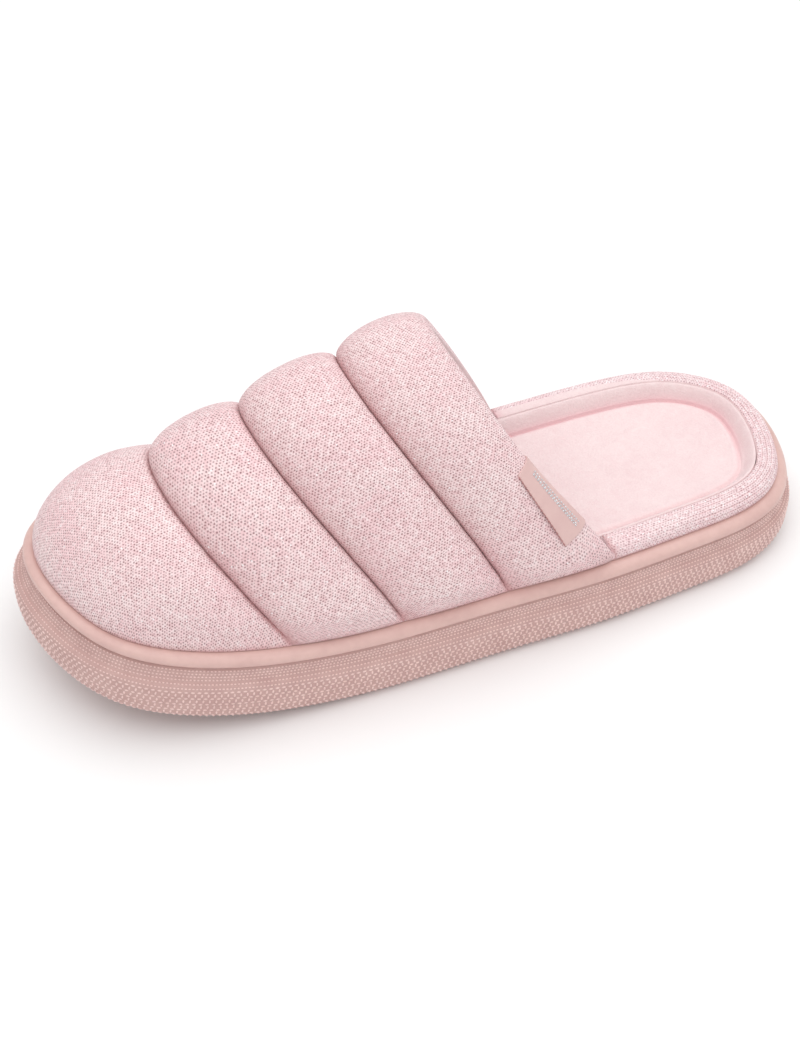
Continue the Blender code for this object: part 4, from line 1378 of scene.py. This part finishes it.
class BeadTree:
    """Geometry Nodes tree that sets rounded pieces along edges, turned with the path and facing sideways."""

    SEED = 7
    INPUTS = (("Pitch", "NodeSocketFloat"), ("Size", "NodeSocketVector"), ("Swing", "NodeSocketFloat"),
              ("Detail", "NodeSocketInt"), ("Finish", "NodeSocketMaterial"))

    def __init__(self) -> None:
        """Build the tree."""
        tree = bpy.data.node_groups.new("beads_along_paths", "GeometryNodeTree")
        face = tree.interface
        face.new_socket("Paths", in_out="INPUT", socket_type="NodeSocketGeometry")
        self.sockets = {name: face.new_socket(name, in_out="INPUT", socket_type=kind).identifier
                        for name, kind in self.INPUTS}
        face.new_socket("Beads", in_out="OUTPUT", socket_type="NodeSocketGeometry")
        board = NodeBoard(tree)
        node = board.node
        start = node("NodeGroupInput").outputs
        end = node("NodeGroupOutput")
        curves = node("GeometryNodeMeshToCurve", {0: start["Paths"]})
        upright = node("GeometryNodeSetCurveNormal", {"Curve": curves}, mode="Z_UP")
        spread = {"Curve": upright, "Length": start["Pitch"]}
        spots = node("GeometryNodeCurveToPoints", spread, mode="LENGTH").outputs
        along = node("FunctionNodeAlignRotationToVector", {"Vector": spots["Tangent"]}, axis="X")
        facing = node("FunctionNodeAlignRotationToVector", {"Rotation": along, "Vector": spots["Normal"]},
                      axis="Y", pivot_axis="X")
        chance = node("FunctionNodeRandomValue", {"Seed": self.SEED}, data_type="FLOAT")
        least, most = [socket for socket in chance.inputs if socket.type == "VALUE"][:2]
        board.feed(least, board.maths("MULTIPLY", start["Swing"], -1.0))
        board.feed(most, start["Swing"])
        angles = node("ShaderNodeCombineXYZ", {"Y": board.maths("RADIANS", chance.outputs[1])})
        swing = node("FunctionNodeEulerToRotation", {0: angles})
        turned = node("FunctionNodeRotateRotation", {"Rotation": facing, "Rotate By": swing},
                      rotation_space="LOCAL")
        ball = node("GeometryNodeMeshIcoSphere", {"Radius": 0.5, "Subdivisions": start["Detail"]})
        smooth = node("GeometryNodeSetShadeSmooth", {"Geometry": ball})
        placed = node("GeometryNodeInstanceOnPoints", {"Points": spots["Points"], "Instance": smooth,
                                                       "Rotation": turned, "Scale": start["Size"]})
        real = node("GeometryNodeRealizeInstances", {0: placed})
        dressed = node("GeometryNodeSetMaterial", {"Geometry": real, "Material": start["Finish"]})
        board.feed(end.inputs[0], dressed)
        self.tree = tree

    def lay(self, name: str, paths: list[Array], bead: Bead, finish: Material,
            loop: bool = False) -> Object:
        """Set beads along paths.

        Args:
            name: name of the object.
            paths: rows of points.
            bead: pitch and sizes of the pieces.
            finish: their material.
            loop: whether each path is closed.

        Returns:
            The pieces as one plain mesh.
        """
        mesh = bpy.data.meshes.new(name)
        edges = []
        start = 0
        for path in paths:
            edges += [(start + i, start + i + 1) for i in range(len(path) - 1)]
            if loop:
                edges.append((start + len(path) - 1, start))
            start += len(path)
        mesh.from_pydata(np.concatenate(paths).tolist(), edges, [])
        thing = show(name, mesh)
        nodes = thing.modifiers.new("beads", "NODES")
        nodes.node_group = self.tree
        values = {"Pitch": bead.pitch, "Size": (bead.length, bead.out, bead.height), "Swing": bead.swing,
                  "Detail": bead.detail, "Finish": finish}
        for label, value in values.items():
            nodes[self.sockets[label]] = value
        return plain_mesh(thing)


# Shader groups

FLOAT = "NodeSocketFloat"
VECTOR = "NodeSocketVector"


def new_group(name: str, takes: dict[str, str], gives: tuple[str, ...]) -> tuple[NodeBoard, dict, dict]:
    """Shader node group with named sockets.

    Args:
        name: name of the group.
        takes: socket kinds of the inputs, by name.
        gives: names of the outputs, which are plain numbers.

    Returns:
        The board, the input sockets and the output sockets, by name.
    """
    tree = bpy.data.node_groups.new(name, "ShaderNodeTree")
    for label, kind in takes.items():
        tree.interface.new_socket(label, in_out="INPUT", socket_type=kind)
    for label in gives:
        tree.interface.new_socket(label, in_out="OUTPUT", socket_type=FLOAT)
    board = NodeBoard(tree)
    start = board.node("NodeGroupInput")
    end = board.node("NodeGroupOutput")
    inputs = {label: start.outputs[label] for label in takes}
    return board, inputs, {label: end.inputs[label] for label in gives}


def mottle_group() -> NodeTree:
    """Soft cloudy variation: broad clouds with a finer cloud on them."""
    finer = 6.0
    low, high = 0.28, 0.72
    board, takes, gives = new_group("mottle", {"Place": VECTOR, "Size": FLOAT, "Fine": FLOAT}, ("Cloud",))
    maths = board.maths
    scale = maths("DIVIDE", 1.0, takes["Size"])
    broad = board.noise(takes["Place"], scale, 2.0)
    fine = board.noise(takes["Place"], maths("MULTIPLY", scale, finer), 3.0)
    extra = maths("MULTIPLY", maths("SUBTRACT", fine.outputs["Fac"], 0.5), takes["Fine"])
    board.feed(gives["Cloud"], board.span(maths("ADD", broad.outputs["Fac"], extra), low, high))
    return board.tree


@dataclass(frozen=True)
class KnitShape:
    """Proportions of the knit, as shares of a stitch and a course."""

    wander_scale: float = 0.45       # noise cells for each stitch
    wander: float = 0.5
    place_u: tuple[float, float] = (0.30, 0.35)    # random part and least value of a gap's place in its cell
    place_v: tuple[float, float] = (0.26, 0.37)
    narrow: float = 1.15
    loop: tuple[float, float] = (0.10, 0.46)       # distances from the gap where a loop starts and is full
    gap: tuple[float, float] = (0.12, 0.42)        # distances where a gap starts to fade and ends
    least_gap: float = 0.5
    glint_scale: float = 2.6         # glint cells for each stitch


def knit_group(shape: KnitShape) -> NodeTree:
    """Fine knit: staggered loops round small dark gaps, with a random shade for each stitch."""
    kinds = {"Cloth": VECTOR, "Stitch": FLOAT, "Course": FLOAT, "Turn": FLOAT}
    board, takes, gives = new_group("knit", kinds, ("Height", "Gap", "Shade", "Glint"))
    maths, node = board.maths, board.node
    wander = board.noise(takes["Cloth"], maths("DIVIDE", shape.wander_scale, takes["Stitch"]), 1.0,
                         noise_dimensions="2D")
    centred = board.vector("SUBTRACT", {0: wander.outputs["Color"], 1: (0.5, 0.5, 0.5)})
    drift = board.vector("SCALE", {0: centred, "Scale": maths("MULTIPLY", takes["Stitch"], shape.wander)})
    moved = board.vector("ADD", {0: takes["Cloth"], 1: drift})
    turned = node("ShaderNodeVectorRotate", {"Vector": moved, "Angle": takes["Turn"]}, rotation_type="Z_AXIS")
    x, y, _ = node("ShaderNodeSeparateXYZ", {0: turned}).outputs
    v = maths("DIVIDE", y, takes["Course"])
    row = maths("FLOOR", v)
    stagger = maths("MULTIPLY", maths("FLOORED_MODULO", row, 2.0), 0.5)
    u = maths("ADD", maths("DIVIDE", x, takes["Stitch"]), stagger)
    column = maths("FLOOR", u)
    cell = node("ShaderNodeCombineXYZ", {0: column, 1: row})
    shade = node("ShaderNodeTexWhiteNoise", {"Vector": cell}, noise_dimensions="2D")
    jitter = node("ShaderNodeSeparateColor", {0: shade.outputs["Color"]}).outputs
    off_u = maths("SUBTRACT", maths("SUBTRACT", u, column), maths("MULTIPLY_ADD", jitter[0], *shape.place_u))
    off_v = maths("SUBTRACT", maths("SUBTRACT", v, row), maths("MULTIPLY_ADD", jitter[1], *shape.place_v))
    off_u = maths("MULTIPLY", off_u, shape.narrow)
    far = maths("SQRT", maths("ADD", maths("MULTIPLY", off_u, off_u), maths("MULTIPLY", off_v, off_v)))
    glint_scale = maths("DIVIDE", shape.glint_scale, takes["Stitch"])
    small = board.vector("FLOOR", {0: board.vector("SCALE", {0: takes["Cloth"], "Scale": glint_scale})})
    glint = node("ShaderNodeTexWhiteNoise", {"Vector": small}, noise_dimensions="2D")
    open_share = maths("MULTIPLY_ADD", shade.outputs["Value"], 1.0 - shape.least_gap, shape.least_gap)
    board.feed(gives["Height"], board.span(far, *shape.loop))
    # Gap: mask of the painted shade in the holes between the loops
    board.feed(gives["Gap"], maths("MULTIPLY", board.span(far, *shape.gap, 1.0, 0.0), open_share))
    board.feed(gives["Shade"], shade.outputs["Value"])
    board.feed(gives["Glint"], glint.outputs["Value"])
    return board.tree


def nap_group() -> NodeTree:
    """Short brushed pile: fine tufts lifted by broader brushed strokes."""
    stroke_scale, stroke_lift = 0.12, 0.6
    board, takes, gives = new_group("nap", {"Place": VECTOR, "Tuft": FLOAT}, ("Height",))
    scale = board.maths("DIVIDE", 1.0, takes["Tuft"])
    tufts = board.noise(takes["Place"], scale, 4.0)
    tufts.inputs["Roughness"].default_value = 0.65
    strokes = board.noise(takes["Place"], board.maths("MULTIPLY", scale, stroke_scale), 3.0)
    strokes.inputs["Distortion"].default_value = 1.6
    lift = board.maths("MULTIPLY_ADD", strokes.outputs["Fac"], stroke_lift, tufts.outputs["Fac"])
    board.feed(gives["Height"], lift)
    return board.tree


class Effects:
    """The shader groups, built once."""

    def __init__(self) -> None:
        """Build the groups."""
        self.mottle = mottle_group()
        self.knit = knit_group(KnitShape())
        self.nap = nap_group()


# Finishes

class Finish:
    """Start of a material: a board, its shader and calls for its groups."""

    def __init__(self, name: str, effects: Effects) -> None:
        """New material with a Principled shader."""
        self.effects = effects
        self.material = bpy.data.materials.new(name)
        self.material.use_nodes = True
        self.board = NodeBoard(self.material.node_tree)
        self.shader = self.material.node_tree.nodes["Principled BSDF"]

    def place(self, layer: Layer) -> Socket:
        """Coordinates that a pattern reads."""
        if layer is Layer.OBJECT:
            return self.board.node("ShaderNodeTexCoord").outputs[layer.value]
        return self.board.node("ShaderNodeUVMap", uv_map=layer.value).outputs[0]

    def fold(self, most: float) -> Socket:
        """Painted shade of the surface, read from the fold layer, up to the given share."""
        depth = self.board.node("ShaderNodeSeparateXYZ", {0: self.place(Layer.PAINTED_SHADE)}).outputs[0]
        return self.board.maths("MULTIPLY", depth, most)

    def cloud(self, layer: Layer, size: float, fine: float) -> Socket:
        """Soft cloudy variation from 0 to 1."""
        return self.effect(self.effects.mottle, Place=self.place(layer), Size=size, Fine=fine)["Cloud"]

    def pile(self, tuft: float) -> Socket:
        """Height of a short pile or a fine grain."""
        return self.effect(self.effects.nap, Place=self.place(Layer.OBJECT), Tuft=tuft)["Height"]

    def effect(self, tree: NodeTree, **values: object) -> bpy.types.bpy_prop_collection:
        """Outputs of a group, with its inputs fed by name."""
        return self.board.node("ShaderNodeGroup", values, node_tree=tree).outputs

    def dress(self, **sources: object) -> None:
        """Constants or links on the shader's own sockets, by name with underscores for spaces."""
        for name, source in sources.items():
            self.board.feed(self.shader.inputs[name.replace("_", " ")], source)


@dataclass(frozen=True)
class KnitFinish:
    """Heathered fine knit with a few silver threads."""

    name: str
    light: Colour = (0.94, 0.75, 0.75)
    rosy: Colour = (0.90, 0.59, 0.62)
    deep: Colour = (0.74, 0.50, 0.51)
    pale: Colour = (0.96, 0.86, 0.86)
    # gap: colour of the painted shade in the small holes between the loops
    gap: Colour = (0.27, 0.13, 0.14)
    # painted_shade_colour: colour of the painted shade in creases, course-line troughs and at the rim's foot
    # and ends
    painted_shade_colour: Colour = (0.52, 0.24, 0.24)
    silver: Colour = (0.98, 0.96, 0.97)
    stitch: float = 0.00114
    course: float = 0.00082
    turn: float = 1.777
    cloud: tuple[float, float] = (0.014, 0.9)      # size and fine part
    cloud_share: float = 0.75
    dark_stitches: tuple[float, float] = (3.0, 0.6)    # power and share
    fuzz: tuple[float, float] = (0.0016, 0.8)
    fuzz_pale: float = 0.55
    fuzz_deep: float = 0.5
    painted_shade_share: float = 0.70
    glints: float = 0.003
    glint_edge: float = 0.6
    glint_share: float = 0.85
    roughness: tuple[float, float] = (0.88, 0.35)
    bump: tuple[float, float] = (0.6, 0.0002)

    def make(self, effects: Effects) -> Material:
        """Build the material."""
        finish = Finish(self.name, effects)
        board = finish.board
        maths, mix, span = board.maths, board.mix, board.span
        knit = finish.effect(effects.knit, Cloth=finish.place(Layer.CLOTH), Stitch=self.stitch,
                             Course=self.course, Turn=self.turn)
        cloud = finish.cloud(Layer.OBJECT, *self.cloud)
        colour = mix(maths("MULTIPLY", cloud, self.cloud_share), self.light, self.rosy)
        power, share = self.dark_stitches
        colour = mix(maths("MULTIPLY", maths("POWER", knit["Shade"], power), share), colour, self.deep)
        fuzz = finish.cloud(Layer.CLOTH, *self.fuzz)
        colour = mix(span(fuzz, 0.5, 1.0, 0.0, self.fuzz_pale), colour, self.pale)
        colour = mix(span(fuzz, 0.0, 0.5, self.fuzz_deep, 0.0), colour, self.deep)
        # painted shade in the holes between the loops
        colour = mix(knit["Gap"], colour, self.gap)
        # painted shade from the fold layer
        colour = mix(finish.fold(self.painted_shade_share), colour, self.painted_shade_colour)
        glint = span(knit["Glint"], 1.0 - self.glints, 1.0 - self.glint_edge * self.glints)
        colour = mix(maths("MULTIPLY", glint, self.glint_share), colour, self.silver)
        finish.dress(Base_Color=colour, Roughness=span(glint, 0.0, 1.0, *self.roughness),
                     Normal=board.bump(knit["Height"], *self.bump), Sheen_Weight=0.25, Sheen_Roughness=0.45,
                     Sheen_Tint=(1.0, 0.92, 0.93, 1.0), Specular_IOR_Level=0.25)
        return finish.material


@dataclass(frozen=True)
class PlushFinish:
    """Short soft pile."""

    name: str
    light: Colour = (0.90, 0.745, 0.74)
    deep: Colour = (0.82, 0.61, 0.62)
    # fold: colour of the painted shade in the fold, at the cup wall's foot and on the rim's plush
    fold: Colour = (0.74, 0.39, 0.42)
    tuft: float = 0.0007
    tuft_shade: tuple[float, float, float, float] = (0.55, 1.0, 0.6, 0.0)
    cloud: tuple[float, float] = (0.02, 0.6)
    cloud_share: float = 0.3
    fold_shade_share: float = 0.7
    bump: tuple[float, float] = (0.5, 0.0006)

    def make(self, effects: Effects) -> Material:
        """Build the material."""
        finish = Finish(self.name, effects)
        board = finish.board
        pile = finish.pile(self.tuft)
        cloud = finish.cloud(Layer.OBJECT, *self.cloud)
        shade = board.maths("MULTIPLY_ADD", cloud, self.cloud_share, board.span(pile, *self.tuft_shade))
        colour = board.mix(shade, self.light, self.deep)
        # painted shade from the fold layer
        finish.dress(Base_Color=board.mix(finish.fold(self.fold_shade_share), colour, self.fold),
                     Normal=board.bump(pile, *self.bump), Roughness=0.95, Sheen_Weight=0.5,
                     Sheen_Roughness=0.6, Sheen_Tint=(1.0, 0.9, 0.92, 1.0), Specular_IOR_Level=0.15)
        return finish.material


@dataclass(frozen=True)
class PlainFinish:
    """Clouded colour, with a fine grain or none: satin and thread as they stand, foam rubber or metal."""

    name: str
    colour: Colour = (0.74, 0.50, 0.455)
    deep: Colour = (0.67, 0.435, 0.40)
    cloud: tuple[float, float] = (0.012, 0.5)
    grain: float = 0.0009
    bump: tuple[float, float] | None = (0.12, 0.0004)
    roughness: tuple[float, float] = (0.36, 0.48)
    specular: float = 0.45
    sheen: float = 0.1
    metal: float = 0.0

    def make(self, effects: Effects) -> Material:
        """Build the material."""
        finish = Finish(self.name, effects)
        board = finish.board
        cloud = finish.cloud(Layer.OBJECT, *self.cloud)
        finish.dress(Base_Color=board.mix(cloud, self.colour, self.deep),
                     Roughness=board.span(cloud, 0.0, 1.0, *self.roughness), Specular_IOR_Level=self.specular,
                     Sheen_Weight=self.sheen, Sheen_Roughness=0.4, Metallic=self.metal)
        if self.bump:
            finish.dress(Normal=board.bump(finish.pile(self.grain), *self.bump))
        return finish.material


UPPER_KNIT = KnitFinish("upper_knit")
RIM_KNIT = KnitFinish("rim_knit", light=(0.94, 0.78, 0.79), rosy=(0.90, 0.63, 0.66), deep=(0.74, 0.53, 0.55),
                      gap=(0.42, 0.23, 0.25), glints=0.04, turn=0.0)
INSOLE_PLUSH = PlushFinish("insole_plush")
WELT_SATIN = PlainFinish("welt_satin")
TAB_LEATHER = PlainFinish("tab_leather", colour=(0.75, 0.52, 0.49), deep=(0.70, 0.47, 0.45))
# seam thread, darkened partly for its own colour and partly as painted shade at the bottom of the creases
SEAM_THREAD_AND_SHADE = PlainFinish("seam_thread_and_shade", colour=(0.60, 0.30, 0.30), deep=(0.50, 0.24, 0.24), grain=0.0003)
# hem thread drawn dark and almost unbroken: partly the thread, partly painted shadow under the tab's sewn
# edge
HEM_THREAD_AND_SHADOW = PlainFinish("hem_thread_and_shadow", colour=(0.46, 0.22, 0.21), deep=(0.38, 0.17, 0.17), grain=0.0003)
SOLE_FOAM = PlainFinish("sole_foam", colour=(0.62, 0.41, 0.38), deep=(0.56, 0.355, 0.33), cloud=(0.006, 0.5),
                        grain=0.0005, bump=(0.25, 0.0003), roughness=(0.60, 0.72), specular=0.35, sheen=0.0)
# lighter copy of the sole foam for the raised bricks: painted highlight on them
LIT_SOLE_FOAM = replace(SOLE_FOAM, name="lit_sole_foam", colour=(0.92, 0.70, 0.66), deep=(0.82, 0.60, 0.57))
SILVER_DOTS = PlainFinish("silver_dots", colour=(0.86, 0.85, 0.86), deep=(0.55, 0.53, 0.55),
                          cloud=(0.0009, 0.8), bump=None, roughness=(0.18, 0.42), specular=0.6, sheen=0.0,
                          metal=0.85)


# Stage

@dataclass(frozen=True)
class Lamp:
    """Square soft light that faces the shoe: place and side in metres, power in watts."""

    name: str
    place: tuple[float, float, float]
    side: float
    power: float

    def hang(self) -> None:
        """Put the light in the scene."""
        data = bpy.data.lights.new(self.name, "AREA")
        data.shape = "SQUARE"
        data.size = self.side
        data.energy = self.power
        lamp = bpy.data.objects.new(self.name, data)
        lamp.location = self.place
        lamp.rotation_euler = Vector(self.place).to_track_quat("Z", "Y").to_euler()
        bpy.context.scene.collection.objects.link(lamp)


@dataclass(frozen=True)
class Studio:
    """Pale floor, soft light and the camera."""

    image_height: int = 1042
    focal_pixels: float = 2100.0
    place: tuple[float, float, float] = (0.1918853, 0.4689644, 0.5268481)
    target: tuple[float, float, float] = (0.0088178, 0.0047685, 0.0300)
    roll: float = -0.0081
    sensor: float = 36.0
    clip_start: float = 0.01
    floor_side: float = 12.0
    floor_white: float = 0.93
    surroundings: float = 0.54
    lamps: tuple[Lamp, ...] = (
        Lamp("top_light", (-0.05, -0.10, 1.5), 2.4, 24.0),
        Lamp("front_light", (0.1, 1.3, 1.1), 1.4, 3.5),
    )

    def camera(self) -> None:
        """Stand the camera at the photograph's view."""
        ahead = (Vector(self.target) - Vector(self.place)).normalized()
        right = ahead.cross(Vector((0.0, 0.0, 1.0))).normalized()
        up = right.cross(ahead)
        turned_right = math.cos(self.roll) * right + math.sin(self.roll) * up
        turned_up = math.cos(self.roll) * up - math.sin(self.roll) * right
        data = bpy.data.cameras.new("camera")
        data.sensor_fit = "VERTICAL"
        data.sensor_height = self.sensor
        data.lens = self.focal_pixels * self.sensor / self.image_height
        data.clip_start = self.clip_start
        camera = bpy.data.objects.new("camera", data)
        turn = Matrix((turned_right, turned_up, -ahead)).transposed()
        camera.matrix_world = Matrix.Translation(self.place) @ turn.to_4x4()
        bpy.context.scene.collection.objects.link(camera)
        bpy.context.scene.camera = camera

    def floor(self) -> None:
        """Lay the pale floor."""
        half = self.floor_side / 2.0
        corners = [(x * half, y * half, 0.0) for x, y in ((-1, -1), (1, -1), (1, 1), (-1, 1))]
        mesh = bpy.data.meshes.new("floor")
        mesh.from_pydata(corners, [], [(0, 1, 2, 3)])
        material = bpy.data.materials.new("floor_white")
        material.use_nodes = True
        shader = material.node_tree.nodes["Principled BSDF"]
        shader.inputs["Base Color"].default_value = (*(self.floor_white,) * 3, 1.0)
        shader.inputs["Roughness"].default_value = 0.9
        shader.inputs["Specular IOR Level"].default_value = 0.1
        mesh.materials.append(material)
        show("floor", mesh)

    def set_up(self) -> None:
        """Camera, floor, light and plain colour."""
        self.camera()
        self.floor()
        world = bpy.data.worlds.new("studio")
        world.use_nodes = True
        background = world.node_tree.nodes["Background"]
        background.inputs["Color"].default_value = (1.0, 1.0, 1.0, 1.0)
        background.inputs["Strength"].default_value = self.surroundings
        bpy.context.scene.world = world
        for lamp in self.lamps:
            lamp.hang()
        bpy.context.scene.view_settings.view_transform = "Standard"


def place_piece(piece: Object, slot: str, *nodes: str) -> Object:
    """Ride a finished piece on the shoe, hide the nodes that it replaces, and hand it back."""
    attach(piece, BODY)
    if nodes:
        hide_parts(*nodes)
    LOG.info("%s: %d faces", piece.name, len(piece.data.polygons))
    return piece


def main() -> None:
    """Build the slipper's looks piece by piece."""
    logging.basicConfig(level=logging.INFO, format="%(name)s: %(message)s")
    Studio().set_up()
    effects = Effects()
    knit, rim_knit, plush, satin, leather = (
        finish.make(effects) for finish in (UPPER_KNIT, RIM_KNIT, INSOLE_PLUSH, WELT_SATIN, TAB_LEATHER))
    foam, brick, thread, hem_and_shadow, silver = (
        finish.make(effects) for finish in (SOLE_FOAM, LIT_SOLE_FOAM, SEAM_THREAD_AND_SHADE, HEM_THREAD_AND_SHADOW, SILVER_DOTS))
    outline = Outline(SIZES)
    skin = UpperSkin(outline)
    beads = BeadTree()
    shell = Upper(skin)
    upper = place_piece(shell.build(knit, plush), "upper", "upper")
    # seam stitches, dark partly as painted shade in the creases
    place_piece(beads.lay("seam_stitches", shell.stitch_paths(), SEAM_STITCH, thread), "upper")
    rim = place_piece(HeelRim(skin).build(rim_knit, plush), "heel_rim", "heel_rim")
    footbed = place_piece(Footbed(outline).build(plush), "footbed", "footbed")
    place_piece(Welt(outline).build(satin), "welt", "welt")
    sole = Outsole(outline)
    place_piece(sole.build(foam), "outsole", "outsole")
    # bricks in the lighter foam copy, a painted highlight
    for name, shares, bead in SOLE_BRICKS:
        rows = sole.brick_rows(shares, bead.pitch)
        place_piece(beads.lay(name, rows, bead, brick, loop=True), "outsole")
    tab = SideTab(skin)
    place_piece(tab.build(leather), "side_tab", "side_tab")
    place_piece(beads.lay("tab_hem_and_shadow", tab.stitch_paths(), TAB_HEM_AND_SHADOW, hem_and_shadow), "side_tab")
    place_piece(beads.lay("tab_dots", tab.dot_paths(), TAB_DOT, silver), "side_tab")


if __name__ == "__main__":
    main()
